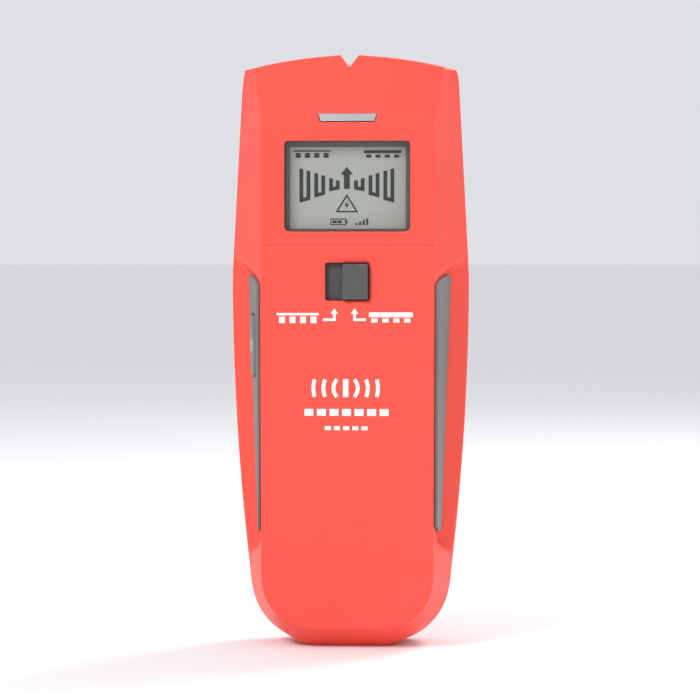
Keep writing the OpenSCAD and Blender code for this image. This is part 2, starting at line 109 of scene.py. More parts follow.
class Shader:
    """Small builder for one node material around a Principled shader."""

    def __init__(self, name: str) -> None:
        """Start an empty node tree with a shader and an output."""
        self.material = bpy.data.materials.new(name)
        self.material.use_nodes = True
        self.tree = self.material.node_tree
        self.tree.nodes.clear()
        self.out = self.tree.nodes.new("ShaderNodeOutputMaterial")
        self.bsdf = self.tree.nodes.new("ShaderNodeBsdfPrincipled")
        self.link(self.bsdf.outputs[0], self.out.inputs[0])
        coords = self.tree.nodes.new("ShaderNodeTexCoord")
        self.place = coords.outputs["Object"]

    def link(self, source: bpy.types.NodeSocket, target: bpy.types.NodeSocket) -> None:
        """Join two sockets."""
        self.tree.links.new(source, target)

    def set(self, **values: float) -> None:
        """Set shader sockets by name, with underscores for spaces."""
        for key, value in values.items():
            self.bsdf.inputs[key.replace("_", " ")].default_value = value

    def noise(self, per_m: float, detail: float = 3.0, rough: float = 0.55) -> bpy.types.NodeSocket:
        """Noise value with the given number of lumps per metre."""
        node = self.tree.nodes.new("ShaderNodeTexNoise")
        node.inputs["Scale"].default_value = per_m
        node.inputs["Detail"].default_value = detail
        node.inputs["Roughness"].default_value = rough
        self.link(self.place, node.inputs["Vector"])
        return node.outputs[0]

    def ramp(self, value: bpy.types.NodeSocket, stops: Sequence[tuple]) -> bpy.types.NodeSocket:
        """Colour ramp through (position, colour) stops."""
        node = self.tree.nodes.new("ShaderNodeValToRGB")
        ends = node.color_ramp.elements
        while len(ends) < len(stops):
            ends.new(0.5)
        for end, (place, colour) in zip(ends, stops):
            end.position = place
            end.color = (*colour, 1.0)
        self.link(value, node.inputs[0])
        return node.outputs[0]

    def spread(self, value: bpy.types.NodeSocket, low: float, high: float) -> bpy.types.NodeSocket:
        """Map a 0 to 1 value onto low to high."""
        node = self.tree.nodes.new("ShaderNodeMapRange")
        node.inputs["To Min"].default_value = low
        node.inputs["To Max"].default_value = high
        self.link(value, node.inputs["Value"])
        return node.outputs[0]

    def bump(self, height: bpy.types.NodeSocket, depth_mm: float, strength: float = 1.0) -> None:
        """Add a bump on top of those already there."""
        node = self.tree.nodes.new("ShaderNodeBump")
        node.inputs["Distance"].default_value = depth_mm * MM
        node.inputs["Strength"].default_value = strength
        self.link(height, node.inputs["Height"])
        normal = self.bsdf.inputs["Normal"]
        if normal.is_linked:
            self.link(normal.links[0].from_socket, node.inputs["Normal"])
        self.link(node.outputs[0], normal)


@dataclass(frozen=True)
class Moulded:
    """Moulded plastic or rubber: a spark-eroded grain, a slight colour drift and uneven gloss."""

    name: str
    colour: tuple
    roughness: float = 0.42
    grain_mm: float = 0.012
    grain_per_m: float = 2600.0
    drift: float = 0.05
    coat: float = 0.0
    specular: float = 0.5
    sheen: float = 0.0

    def make(self) -> bpy.types.Material:
        """Return the finished node material."""
        s = Shader(self.name)
        dark = tuple(c * (1 - self.drift) for c in self.colour)
        light = tuple(min(c * (1 + self.drift), 1.0) for c in self.colour)
        s.link(s.ramp(s.noise(55, 4), [(0.3, dark), (0.7, light)]), s.bsdf.inputs["Base Color"])
        s.link(s.spread(s.noise(180, 5), self.roughness - 0.06, self.roughness + 0.07),
               s.bsdf.inputs["Roughness"])
        s.set(Coat_Weight=self.coat, Coat_Roughness=0.25, Specular_IOR_Level=self.specular,
              Sheen_Weight=self.sheen)
        s.bump(s.noise(self.grain_per_m, 2, 0.6), self.grain_mm)
        s.bump(s.noise(60, 2), 0.05, 0.25)
        return s.material


@dataclass(frozen=True)
class Metal:
    """Plated or bare metal with fine drawing marks and small tarnish clouds."""

    name: str
    colour: tuple
    roughness: float = 0.28
    tarnish: float = 0.12
    marks_per_m: float = 900.0

    def make(self) -> bpy.types.Material:
        """Return the finished node material."""
        s = Shader(self.name)
        worn = tuple(c * (1 - self.tarnish) for c in self.colour)
        s.link(s.ramp(s.noise(420, 5), [(0.35, worn), (0.65, self.colour)]), s.bsdf.inputs["Base Color"])
        s.link(s.spread(s.noise(self.marks_per_m, 4), self.roughness * 0.7, self.roughness * 1.5),
               s.bsdf.inputs["Roughness"])
        s.set(Metallic=1.0)
        s.bump(s.noise(self.marks_per_m * 2, 3), 0.01)
        return s.material


@dataclass(frozen=True)
class Clear:
    """Clear moulding: a thin polished window with faint wipe marks."""

    name: str
    tint: tuple
    roughness: float = 0.03

    def make(self) -> bpy.types.Material:
        """Return the finished node material."""
        s = Shader(self.name)
        s.bsdf.inputs["Base Color"].default_value = (*self.tint, 1.0)
        s.set(IOR=1.7, Alpha=0.10, Specular_IOR_Level=1.0)
        s.link(s.spread(s.noise(90, 6), self.roughness, self.roughness + 0.05), s.bsdf.inputs["Roughness"])
        return s.material


@dataclass(frozen=True)
class Film:
    """Reflective display film: grey-green with a faint shimmer."""

    name: str
    colour: tuple

    def make(self) -> bpy.types.Material:
        """Return the finished node material."""
        s = Shader(self.name)
        dim = tuple(c * 0.93 for c in self.colour)
        s.link(s.ramp(s.noise(38, 2), [(0.35, dim), (0.65, self.colour)]), s.bsdf.inputs["Base Color"])
        s.link(s.spread(s.noise(5200, 1), 0.28, 0.42), s.bsdf.inputs["Roughness"])
        s.set(Coat_Weight=0.4, Coat_Roughness=0.08)
        return s.material


@dataclass(frozen=True)
class Laminate:
    """Circuit board: solder mask with faint tracks and a woven ground."""

    name: str
    mask: tuple
    track: tuple

    def make(self) -> bpy.types.Material:
        """Return the finished node material."""
        s = Shader(self.name)
        cells = s.tree.nodes.new("ShaderNodeTexVoronoi")
        cells.distance = "MANHATTAN"
        cells.feature = "F1"
        cells.inputs["Scale"].default_value = 260
        s.link(s.place, cells.inputs["Vector"])
        s.link(s.ramp(cells.outputs["Distance"], [(0.42, self.mask), (0.5, self.track), (0.58, self.mask)]),
               s.bsdf.inputs["Base Color"])
        s.set(Roughness=0.3, Coat_Weight=0.5, Coat_Roughness=0.12)
        s.bump(cells.outputs["Distance"], 0.03, 0.4)
        s.bump(s.noise(3000, 1), 0.01)
        return s.material


@dataclass
class Palette:
    """Every finish of the tool, made once."""

    shell: bpy.types.Material = field(init=False)

    def __post_init__(self) -> None:
        """Make the materials."""
        self.shell = Moulded("red_shell", (0.90, 0.080, 0.053), 0.42, 0.010, 2400, 0.03, 0.0, 0.35).make()
        self.grip = Moulded("grip_rubber", (0.150, 0.150, 0.146), 0.62, 0.02, 2000, 0.08, 0, 0.35,
                            0.15).make()
        self.button = Moulded("button_rubber", (0.170, 0.170, 0.165), 0.55, 0.015, 2200, 0.06, 0, 0.4,
                              0.1).make()
        self.knob = Moulded("knob_plastic", (0.074, 0.073, 0.074), 0.38, 0.012, 2200, 0.08).make()
        self.cover = Moulded("cover_plastic", (0.060, 0.058, 0.059), 0.45, 0.012, 2200, 0.08).make()
        self.black = Moulded("black_plastic", (0.018, 0.018, 0.019), 0.42, 0.01, 2600, 0.1).make()
        self.foam = Moulded("black_foam", (0.03, 0.03, 0.03), 0.9, 0.12, 900, 0.3, 0, 0.2).make()
        self.white = Moulded("white_plastic", (0.78, 0.78, 0.75), 0.45, 0.01, 2400, 0.03).make()
        self.lens = Moulded("indicator_frost", (0.40, 0.40, 0.39), 0.35, 0.006, 2400, 0.03, 0.3).make()
        self.print = Moulded("white_print", (0.88, 0.88, 0.86), 0.5, 0.004, 3000, 0.03).make()
        self.ink = Moulded("display_ink", (0.022, 0.028, 0.024), 0.4, 0.002, 3000, 0.05).make()
        self.label = Moulded("label_film", (0.60, 0.60, 0.58), 0.5, 0.004, 3000, 0.03).make()
        self.label_ink = Moulded("label_ink", (0.05, 0.05, 0.055), 0.5, 0.002, 3000, 0.05).make()
        self.epoxy = Moulded("chip_epoxy", (0.015, 0.015, 0.016), 0.5, 0.01, 3000, 0.1).make()
        self.led = Moulded("led_package", (0.86, 0.83, 0.74), 0.2, 0.004, 3000, 0.03, 0.6).make()
        self.zebra = Moulded("layered_silicone", (0.55, 0.16, 0.22), 0.5, 0.02, 2600, 0.1).make()
        self.plunger = Moulded("plunger_plastic", (0.60, 0.52, 0.32), 0.4).make()
        self.can = Moulded("battery_lacquer", (0.020, 0.026, 0.038), 0.3, 0.004, 2600, 0.1, 0.5).make()
        self.can_band = Moulded("battery_band", (0.55, 0.30, 0.05), 0.28, 0.004, 2600, 0.08, 0.5).make()
        self.vinyl = Moulded("clip_vinyl", (0.022, 0.022, 0.022), 0.6, 0.03, 1500, 0.1).make()
        self.red_wire = Moulded("red_insulation", (0.52, 0.012, 0.010), 0.4, 0.006, 2600, 0.06).make()
        self.black_wire = Moulded("black_insulation", (0.018, 0.018, 0.018), 0.4, 0.006, 2600, 0.06).make()
        self.steel = Metal("zinc_screw", (0.60, 0.60, 0.60), 0.3).make()
        self.nickel = Metal("nickel_terminal", (0.66, 0.63, 0.58), 0.24).make()
        self.tin = Metal("tinned_cover", (0.70, 0.71, 0.72), 0.3).make()
        self.copper = Metal("copper_plate", (0.85, 0.42, 0.24), 0.35, 0.25).make()
        self.window = Clear("clear_window", (0.03, 0.035, 0.034)).make()
        self.glass = Film("display_film", (0.50, 0.53, 0.48)).make()
        # grey sheet round the display: painted shade of the recess's walls, widest where the top edge throws
        # its shadow
        self.mask = Moulded("window_painted_shade", (0.14, 0.14, 0.14), 0.4, 0.002, 3000, 0.05).make()
        self.green = Laminate("green_board", (0.012, 0.115, 0.045), (0.03, 0.20, 0.08)).make()
        self.blue = Laminate("blue_board", (0.010, 0.055, 0.14), (0.02, 0.10, 0.24)).make()


# ------------------------------------------------------------------ mesh building


class Form:
    """A bmesh in the lying frame that becomes one finished piece."""

    def __init__(self, name: str) -> None:
        """Start empty."""
        self.name = name
        self.bm = bmesh.new()

    def grid(self, cols: int, rows: int, place: Callable[[int, int], Sequence[float]]) -> list:
        """Lay a grid of cols by rows points over a form.

        Args:
            cols: points along the first direction.
            rows: points along the second direction.
            place: lying point of column i and row j.

        Returns:
            The new vertices.
        """
        made = bmesh.ops.create_grid(self.bm, x_segments=cols - 1, y_segments=rows - 1, size=0.5)["verts"]
        for v in made:
            i = round((v.co.x + 0.5) * (cols - 1))
            j = round((v.co.y + 0.5) * (rows - 1))
            v.co = Vector(place(i, j))
        return made

    def weld(self, distance: float = 0.01) -> None:
        """Merge points that lie on each other."""
        bmesh.ops.remove_doubles(self.bm, verts=self.bm.verts[:], dist=distance)

    def outward(self) -> None:
        """Turn all faces outwards."""
        bmesh.ops.recalc_face_normals(self.bm, faces=self.bm.faces[:])

    def cut(self, inside: Callable[[Vector], bool]) -> None:
        """Delete the faces whose middle is inside a region."""
        faces = [f for f in self.bm.faces if inside(f.calc_center_median())]
        bmesh.ops.delete(self.bm, geom=faces, context="FACES")

    def sharp(self, angle: float, keep: Callable[[bmesh.types.BMEdge], bool] = lambda e: True) -> list:
        """Edges whose faces meet at more than angle degrees and that keep accepts."""
        limit = math.radians(angle)
        return [e for e in self.bm.edges
                if len(e.link_faces) == 2 and e.calc_face_angle(0) > limit and keep(e)]

    def bevel(self, edges: Iterable, offset: float, segments: int = 2, clamp: bool = False) -> None:
        """Round edges over with the given width."""
        bmesh.ops.bevel(self.bm, geom=list(edges), offset=offset, segments=segments, profile=0.5,
                        affect="EDGES", offset_type="OFFSET", material=-1, clamp_overlap=clamp)

    def block(self, low: Sequence[float], high: Sequence[float], radius: float = 0.0,
              segments: int = 2) -> list:
        """Add a box between two corners, with all its edges rounded."""
        size = Vector(high) - Vector(low)
        middle = (Vector(high) + Vector(low)) / 2
        made = bmesh.ops.create_cube(self.bm, size=1, matrix=Matrix.Translation(middle) @
                                     Matrix.Diagonal((*size, 1)))["verts"]
        if radius:
            edges = {e for v in made for e in v.link_edges}
            self.bevel(edges, radius, segments)
        return made

    def plate(self, outline: Sequence[tuple], z: float, height: float) -> list:
        """Add a flat plate with an outline of (x, y) points, from z up by height."""
        verts = [self.bm.verts.new((x, y, z)) for x, y in outline]
        return self.lift([self.bm.faces.new(verts)], (0, 0, height))

    def slab(self, x: float, y: float, w: float, h: float, z: float, deep: float) -> None:
        """Add a thin rectangle with its lower left corner at x, y."""
        self.plate([(x, y), (x + w, y), (x + w, y + h), (x, y + h)], z, deep)

    def rim(self, outer: tuple, inner: tuple, z: float, deep: float) -> None:
        """Add a flat frame between two rectangles, each given as (x0, y0, x1, y1)."""
        xs = (outer[0], inner[0], inner[2], outer[2])
        ys = (outer[1], inner[1], inner[3], outer[3])
        made = self.grid(4, 4, lambda i, j: (xs[i], ys[j], z))
        faces = {f for v in made for f in v.link_faces}
        hole = [f for f in faces if inner[0] < f.calc_center_median().x < inner[2] and
                inner[1] < f.calc_center_median().y < inner[3]]
        bmesh.ops.delete(self.bm, geom=hole, context="FACES")
        self.lift([f for f in faces if f.is_valid], (0, 0, deep))

    def frame(self, x: float, y: float, w: float, h: float, line: float, z: float, deep: float) -> None:
        """Add a rectangular outline of a given line width."""
        self.rim((x, y, x + w, y + h), (x + line, y + line, x + w - line, y + h - line), z, deep)

    def arc(self, middle: tuple, radius: float, line: float, start: float, stop: float, z: float,
            deep: float) -> None:
        """Add an arc of a given line width between two directions in degrees."""
        steps = max(6, round(abs(stop - start) / 12))

        def place(i: int, j: int) -> tuple:
            """Point of the arc: i along it, j across its line."""
            a = math.radians(lerp(start, stop, i / steps))
            r = radius + (j - 0.5) * line
            return middle[0] + r * math.cos(a), middle[1] + r * math.sin(a), z

        made = self.grid(steps + 1, 2, place)
        self.lift(list({f for v in made for f in v.link_faces}), (0, 0, deep))

    def lift(self, faces: Sequence[bmesh.types.BMFace], by: Sequence[float]) -> list:
        """Give a sheet of faces a body by extruding it, keeping the sheet as its other side."""
        made = bmesh.ops.extrude_face_region(self.bm, geom=list(faces), use_keep_orig=True)["geom"]
        verts = [g for g in made if isinstance(g, bmesh.types.BMVert)]
        bmesh.ops.translate(self.bm, vec=Vector(by), verts=verts)
        return verts

    def sink(self, faces: Sequence[bmesh.types.BMFace], by: Sequence[float]) -> list:
        """Push a patch of faces in or out of the skin, with walls round it.

        Args:
            faces: the patch.
            by: how far it moves.

        Returns:
            The patch's vertices in their new place.
        """
        made = bmesh.ops.extrude_face_region(self.bm, geom=list(faces))["geom"]
        verts = [g for g in made if isinstance(g, bmesh.types.BMVert)]
        bmesh.ops.translate(self.bm, vec=Vector(by), verts=verts)
        bmesh.ops.delete(self.bm, geom=[f for f in faces if f.is_valid], context="FACES_ONLY")
        bmesh.ops.delete(self.bm, geom=[e for e in self.bm.edges if not e.link_faces], context="EDGES")
        bmesh.ops.delete(self.bm, geom=[v for v in self.bm.verts if not v.link_edges], context="VERTS")
        return verts

    def turned(self, profile: Sequence[tuple], at: Sequence[float], axis: Sequence[float] = (0, 0, 1),
               steps: int = 32) -> list:
        """Spin a profile of (radius, height) points round an axis through at.

        Args:
            profile: points from the axis or a rim to the other end.
            at: lying point where height is zero.
            axis: direction of increasing height.
            steps: faces round the circle.

        Returns:
            The new vertices.
        """
        before = set(self.bm.verts)
        verts = [self.bm.verts.new((r, 0, h)) for r, h in profile]
        edges = [self.bm.edges.new(pair) for pair in zip(verts, verts[1:])]
        bmesh.ops.spin(self.bm, geom=verts + edges, cent=(0, 0, 0), axis=(0, 0, 1), angle=math.tau,
                       steps=steps, use_merge=True)
        made = [v for v in self.bm.verts if v not in before]
        turn = Vector((0, 0, 1)).rotation_difference(Vector(axis)).to_matrix().to_4x4()
        bmesh.ops.transform(self.bm, matrix=Matrix.Translation(Vector(at)) @ turn, verts=made)
        bmesh.ops.remove_doubles(self.bm, verts=made, dist=0.0005)
        return [v for v in made if v.is_valid]

    def finish(self, material: bpy.types.Material, body: Body, replaces: Sequence[str] = (),
               levels: int = 0, flat: bool = False, recalc: bool = True) -> bpy.types.Object:
        """Stand the form up and make it a piece of the tool.

        Args:
            material: its finish.
            body: the rigid body that it rides on.
            replaces: CAD nodes that it stands for.
            levels: levels of subdivision.
            flat: shade faces flat.
            recalc: turn the faces outwards first.

        Returns:
            The new object.
        """
        if recalc:
            self.outward()
        for v in self.bm.verts:
            v.co = stand(v.co)
        mesh = bpy.data.meshes.new(self.name)
        self.bm.to_mesh(mesh)
        self.bm.free()
        mesh.polygons.foreach_set("use_smooth", [not flat] * len(mesh.polygons))
        piece = bpy.data.objects.new(self.name, mesh)
        bpy.context.scene.collection.objects.link(piece)
        piece.data.materials.append(material)
        if levels:
            sub = piece.modifiers.new("subdivision", "SUBSURF")
            sub.levels = sub.render_levels = levels
        elif not flat:
            mesh.set_sharp_from_angle(angle=math.radians(35))
        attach(piece, body.value)
        if replaces:
            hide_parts(*replaces)
        log.info("made %s: %d faces", self.name, len(mesh.polygons))
        return piece


# ------------------------------------------------------------------ the outline


@dataclass(frozen=True)
class Outline:
    """The tool seen from the front, shared by both casings."""

    length: float = 166.0
    width: float = 67.0
    belly_y: float = 104.0
    corner_r: float = 18.5
    corner_x: float = 9.8
    top_rise: float = 3.8
    top_half: float = 28.5
    head_taper: float = 0.0536
    notch_w: float = 5.2
    notch_d: float = 3.7
    tip_w: float = 29.9

    def half_w(self, y: float) -> float:
        """Half width at the distance y from the handle end."""
        if y >= self.belly_y:
            return self.width / 2 - (y - self.belly_y) * self.head_taper
        bulge = (self.belly_y - self.corner_r) ** 2 / (self.width / 2 - self.corner_x - self.corner_r)
        return self.width / 2 - (self.belly_y - y) ** 2 / bulge

    def top_y(self, x: float) -> float:
        """Curved top edge at the distance x from the middle."""
        return self.length - self.top_rise * (x / self.top_half) ** 2

    def corner(self, degrees: float, inset: float) -> tuple:
        """Point of the lower corner arc, drawn in by inset, degrees round from the foot."""
        a = math.radians(degrees)
        r = self.corner_r - inset
        return self.corner_x + r * math.sin(a), self.corner_r - r * math.cos(a)

    def notched(self, x: float, y: float, column: int) -> tuple:
        """Point of the top edge with the sight notch let into its first two columns."""
        if column == 0:
            return 0.0, self.length - self.notch_d
        if column == 1:
            return self.notch_w / 2, self.top_y(self.notch_w / 2)
        return x, y


@dataclass(frozen=True)
class Station:
    """One line across the shell, from the middle of the panel to the joint line.

    Attributes:
        panel: half width, distance along the tool and height of the panel's edge.
        side: half width and distance along the tool of the outline.
        foot: how far the lower wall is drawn out to the flat foot, 0 to 1.
        scoop: whether the line crosses the finger scoop.
        tip: how far the line follows the curved top edge, 0 to 1.
        sink: how far the middle of the line lies below the surface.
    """

    panel: tuple
    side: tuple
    foot: float = 0.0
    scoop: bool = False
    tip: float = 0.0
    sink: float = 0.0


# ------------------------------------------------------------------ casings


@dataclass
class Shell:
    """One half of the case, skinned from cross-sections that run from the middle to the joint line.

    Attributes:
        outline: the tool seen from the front.
        palette: the finishes.
        wall: thickness of the moulding.
        edge: rounding of its edges.
    """

    outline: Outline
    palette: Palette
    wall: float = 1.8
    edge: float = 0.35

    def skin(self, form: Form, sections: Sequence[Sequence[tuple]], flat: int, toward: float) -> None:
        """Skin the outer face and turn it outwards.

        Args:
            form: the form to add to.
            sections: lying points of each cross-section, from the foot to the tip.
            flat: how many points of each cross-section lie on the flat face.
            toward: 1 where the flat face looks up in the lying frame, -1 where it looks down.
        """
        form.grid(len(sections[0]), len(sections), lambda i, j: sections[j][i])
        form.weld()
        self.end_strip(form, sections[0], flat, lambda share, i: (share * self.outline.corner_x, 0.0))
        self.end_strip(form, sections[-1], flat, lambda share, i: self.outline.notched(
            share * self.outline.tip_w, self.outline.top_y(share * self.outline.tip_w), i))
        bmesh.ops.mirror(form.bm, geom=form.bm.faces[:] + form.bm.edges[:] + form.bm.verts[:], axis="X",
                         merge_dist=0.001)
        form.weld()
        form.outward()
        if sum(f.normal.z * f.calc_area() for f in form.bm.faces) * toward < 0:
            bmesh.ops.reverse_faces(form.bm, faces=form.bm.faces[:])

    def end_strip(self, form: Form, section: Sequence[tuple], flat: int,
                  edge: Callable[[float, int], tuple]) -> None:
        """Close the shell at its first or last cross-section with a strip of wall.

        Args:
            form: the form to add to.
            section: first or last cross-section.
            flat: how many of its points lie on the flat face.
            edge: outline point under the flat face's point of a given share of the half width.
        """
        corner = section[flat - 1]
        rows = [corner, *section[flat:]]

        def place(i: int, j: int) -> tuple:
            """Point of the strip: i across the shell, j down its wall."""
            top = section[i]
            if j == 0:
                return top
            low = edge(top[0] / corner[0], i)
            t = (rows[j][1] - corner[1]) / (rows[-1][1] - corner[1])
            return lerp(top[0], low[0], t), lerp(top[1], low[1], t), rows[j][2]

        form.grid(flat, len(rows), place)

    def thicken(self, form: Form) -> set:
        """Give the skin its wall, inwards, and return the vertices of the outer face."""
        outer = set(form.bm.verts)
        bmesh.ops.solidify(form.bm, geom=form.bm.faces[:], thickness=self.wall)
        return outer

    def round_corners(self, form: Form, corners: Iterable[tuple], radius: float) -> None:
        """Round the corners of openings, given as lying (x, y) points."""
        spots = [Vector(c) for c in corners]
        edges = [e for e in form.bm.edges
                 if any(all((v.co.xy - c).length < self.wall * 0.45 for v in e.verts) for c in spots)
                 and abs(e.verts[0].co.z - e.verts[1].co.z) > self.wall * 0.6]
        form.bevel(edges, radius, 4)


@dataclass
class FrontCasing(Shell):
    """Red front shell with its plateau, sloping nose, finger scoops and openings."""

    depth: float = 28.0
    seam: float = 11.1
    rim_z: float = 12.2
    foot_z: float = 20.5
    panel_w: float = 24.0
    panel_y: float = 5.5
    panel_r: float = 14.0
    nose_y: float = 145.7
    nose_z: float = 16.3
    nose_w: float = 26.6
    tip_y: float = 165.6
    ledge_z: float = 16.0
    ledge_slope: float = 0.633
    crease_y: float = 112.5
    crease_w: float = 0.27
    crease_d: float = 0.75
    lcd: tuple = (17.5, 116.5, 141.5)
    mode: tuple = (6.0, 97.25, 107.55)
    bezel: float = 2.0
    bezel_d: float = 0.75
    button: tuple = (75.7, 93.3, 18.2, 24.8)
    slot: tuple = (146.9, 149.3, 7.5, 8.35)
    groove: tuple = (8, 31.0, 102.0, 0.28)
    columns: tuple = (0, 3, 6, 8, 12.5, 17.5, 20.5, 22.7, 23.05, 23.4, 24)
    falls: tuple = (0.05, 0.2, 0.475, 0.7, 0.85, 0.955, 1.0)

    def wall_x(self, y: float) -> float:
        """Half width at the foot of the scoop's wall."""
        return 24.85 + 3.15 * (y - 28) / 82

    def scoop_x(self, y: float, z: float) -> float:
        """Half width of the scoop's wall at the height z."""
        fall = (self.depth - z) / (self.depth - self.ledge_z)
        return 24.1 + (self.wall_x(y) - 24.1) * fall

    def stations(self) -> list[Station]:
        """Every line across the shell, from the foot to the tip."""
        made = []
        for a in (0, 14, 28, 42, 56, 70, 84):
            t = math.radians(a * 90 / 84)
            panel = (self.panel_w - self.panel_r + self.panel_r * math.sin(t),
                     self.panel_y + self.panel_r - self.panel_r * math.cos(t), self.depth)
            made.append(Station(panel, self.outline.corner(a * 83 / 84, 0), foot=1 - smooth(a / 60)))
        plain = [(23.5, 21.5), (28.4, 25.0)]
        scooped = [(30.2, 27.4), (34, 32), (42, 41), (52, 52), (63, 63), (self.button[0], self.button[0]),
                   (81.5, 81.5), (87.5, 87.5), (self.button[1], self.button[1] + 0.6), (95.25, 96.5),
                   (self.mode[1], 100), (100.5, 104.2), (102.9, 107.6)]
        head = [(104.4, 109.8), (self.mode[2], 112.1), (self.mode[2] + self.bezel, 113.6)]
        made += [self.straight(p, s, False) for p, s in plain]
        made += [self.straight(p, s, True) for p, s in scooped]
        made += [self.straight(p, s, False) for p, s in head]
        made += [self.straight(self.crease_y + d, self.crease_y + 3.5 + d, False, sink)
                 for d, sink in ((-self.crease_w, 0), (0, self.crease_d), (self.crease_w, 0))]
        made += [self.straight(p, s, False) for p, s in (
            (self.lcd[1], 119.5), (122.7, 124.4), (129, 129.6), (135.3, 135.5), (self.lcd[2], 141.5))]
        made += [self.nose(p, s, tip) for p, s, tip in (
            (self.nose_y, self.nose_y, 0), (self.slot[0], 146.9, 0), (self.slot[1], 149.2, 0),
            (154, 153.2, 0.15), (159.4, 157.2, 0.5), (self.tip_y, 161.7, 1))]
        return made

    def straight(self, panel_y: float, side_y: float, scoop: bool, sink: float = 0.0) -> Station:
        """Line across the level part of the panel."""
        return Station((self.panel_w, panel_y, self.depth), (self.outline.half_w(side_y), side_y),
                       scoop=scoop, sink=sink)

    def nose(self, panel_y: float, side_y: float, tip: float) -> Station:
        """Line across the sloping nose."""
        t = (panel_y - self.nose_y) / (self.tip_y - self.nose_y)
        width = self.outline.tip_w if tip == 1 else self.outline.half_w(side_y)
        return Station((lerp(self.panel_w, self.nose_w, t), panel_y, lerp(self.depth, self.nose_z, t)),
                       (width, side_y), tip=tip)

    def flat_point(self, s: Station, i: int) -> tuple:
        """Lying point of column i on the flat of a station."""
        x = self.columns[i] / self.panel_w * s.panel[0]
        y = s.panel[1] - s.tip * self.outline.top_rise * (x / self.outline.top_half) ** 2
        if s.tip == 1:
            x, y = self.outline.notched(x, y, i)
        if i == 3 and s.panel[1] in self.slot[:2]:
            x = self.slot[2] if s.panel[1] == self.slot[0] else self.slot[3]
        z = s.panel[2] - s.sink
        if s.tip == 1 and i == 0:
            z = lerp(self.depth, self.nose_z, (y - self.nose_y) / (self.tip_y - self.nose_y))
        if self.columns[i] <= self.mode[0] and self.mode[1] <= s.panel[1] <= self.mode[2]:
            z -= self.bezel_d
        if i == self.groove[0] and self.groove[1] < s.panel[1] < self.groove[2]:
            z -= self.groove[3]
        return x, y, z

    def side_point(self, s: Station, k: int) -> tuple:
        """Lying point of column k from the panel's edge down to the joint line."""
        if k == len(self.falls):
            return s.side[0], s.side[1], self.seam
        edge_y = self.flat_point(s, len(self.columns) - 1)[1]
        if s.scoop:
            x, z = self.scoop_section(s, k)
            return x, lerp(edge_y, s.side[1], (x - self.panel_w) / (s.side[0] - self.panel_w)), z
        t = self.falls[k]
        t_xy = lerp(t, min(t / self.falls[2], 1.0), s.foot)
        z = lerp(s.panel[2], self.rim_z, t)
        if k == 2:
            z = lerp(z, self.foot_z, s.foot)
        return lerp(s.panel[0], s.side[0], t_xy), lerp(edge_y, s.side[1], t_xy), z - s.sink * 0.6

    def scoop_section(self, s: Station, k: int) -> tuple:
        """Half width and height of column k down the scoop's wall and over its ledge."""
        foot = self.wall_x(lerp(s.panel[1], s.side[1], 0.3))
        if k < 3:
            z = (27.3, self.button[3], self.button[2])[k]
            return self.scoop_x(lerp(s.panel[1], s.side[1], 0.3), z), z
        rim = s.side[0] - 0.35
        rim_z = self.ledge_z - (rim - foot) * self.ledge_slope
        if k < 6:
            t = (k - 3) / 2
            return lerp(foot, rim, t), lerp(self.ledge_z, rim_z, t)
        return s.side[0], min(self.rim_z, rim_z - 0.35)

    def build(self) -> None:
        """Make the shell."""
        form = Form("front_casing_shell")
        flat, falls = range(len(self.columns)), range(len(self.falls) + 1)
        self.skin(form, [[self.flat_point(s, i) for i in flat] + [self.side_point(s, k) for k in falls]
                         for s in self.stations()], len(self.columns), 1)
        self.open_windows(form)
        outer = self.thicken(form)
        inner = {v for v in form.bm.verts if v not in outer}
        self.round_corners(form, [(s * self.lcd[0], y) for s in (-1, 1) for y in self.lcd[1:]], 1.1)
        self.round_corners(form, [(s * self.mode[0], y) for s in (-1, 1) for y in self.mode[1:]], 0.5)
        form.bevel(form.sharp(28, lambda e: not self.on_crease(e) and not inner.issuperset(e.verts)),
                   self.edge)
        self.crisp_bezel(form)
        form.finish(self.palette.shell, Body.CASE, ["front_casing"], levels=2)

    def crisp_bezel(self, form: Form) -> None:
        """Keep the outer edge of the border round the switch crisp under subdivision."""
        layer = form.bm.edges.layers.float.new("crease_edge")
        x, y0, y1 = self.mode[0] + self.bezel, self.mode[1] - self.bezel, self.mode[2] + self.bezel
        for e in form.bm.edges:
            a, b = (v.co for v in e.verts)
            level = min(a.z, b.z) > self.depth - 0.01
            upright = all(abs(abs(p.x) - x) < 0.01 and y0 - 0.01 < p.y < y1 + 0.01 for p in (a, b))
            lying = any(all(abs(p.y - y) < 0.01 and abs(p.x) < x + 0.01 for p in (a, b)) for y in (y0, y1))
            if level and (upright or lying):
                e[layer] = 0.9

    def on_crease(self, edge: bmesh.types.BMEdge) -> bool:
        """Whether an edge belongs to the crease or to the grooves of the panel."""
        a, b = (v.co for v in edge.verts)
        across = abs(a.x - b.x) > 0.1 and min(a.z, b.z) > self.seam + 1 and \
            all(self.crease_y - 1 < p.y < self.crease_y + 4.5 for p in (a, b))
        along = all(22.6 < abs(p.x) < 23.5 and p.z > self.depth - 0.6 for p in (a, b)) and \
            abs(a.x - b.x) < 0.2
        return across or along

    def open_windows(self, form: Form) -> None:
        """Cut the display, mode-switch, indicator and power-button openings."""
        form.cut(lambda c: abs(c.x) < self.lcd[0] and self.lcd[1] < c.y < self.lcd[2])
        form.cut(lambda c: abs(c.x) < self.mode[0] and self.mode[1] < c.y < self.mode[2])
        form.cut(lambda c: abs(c.x) < self.slot[2] and self.slot[0] < c.y < self.slot[1] and c.z > 20)
        low, high, floor, top = self.button
        form.cut(lambda c: c.x < -self.panel_w and low < c.y < high and floor < c.z < top)


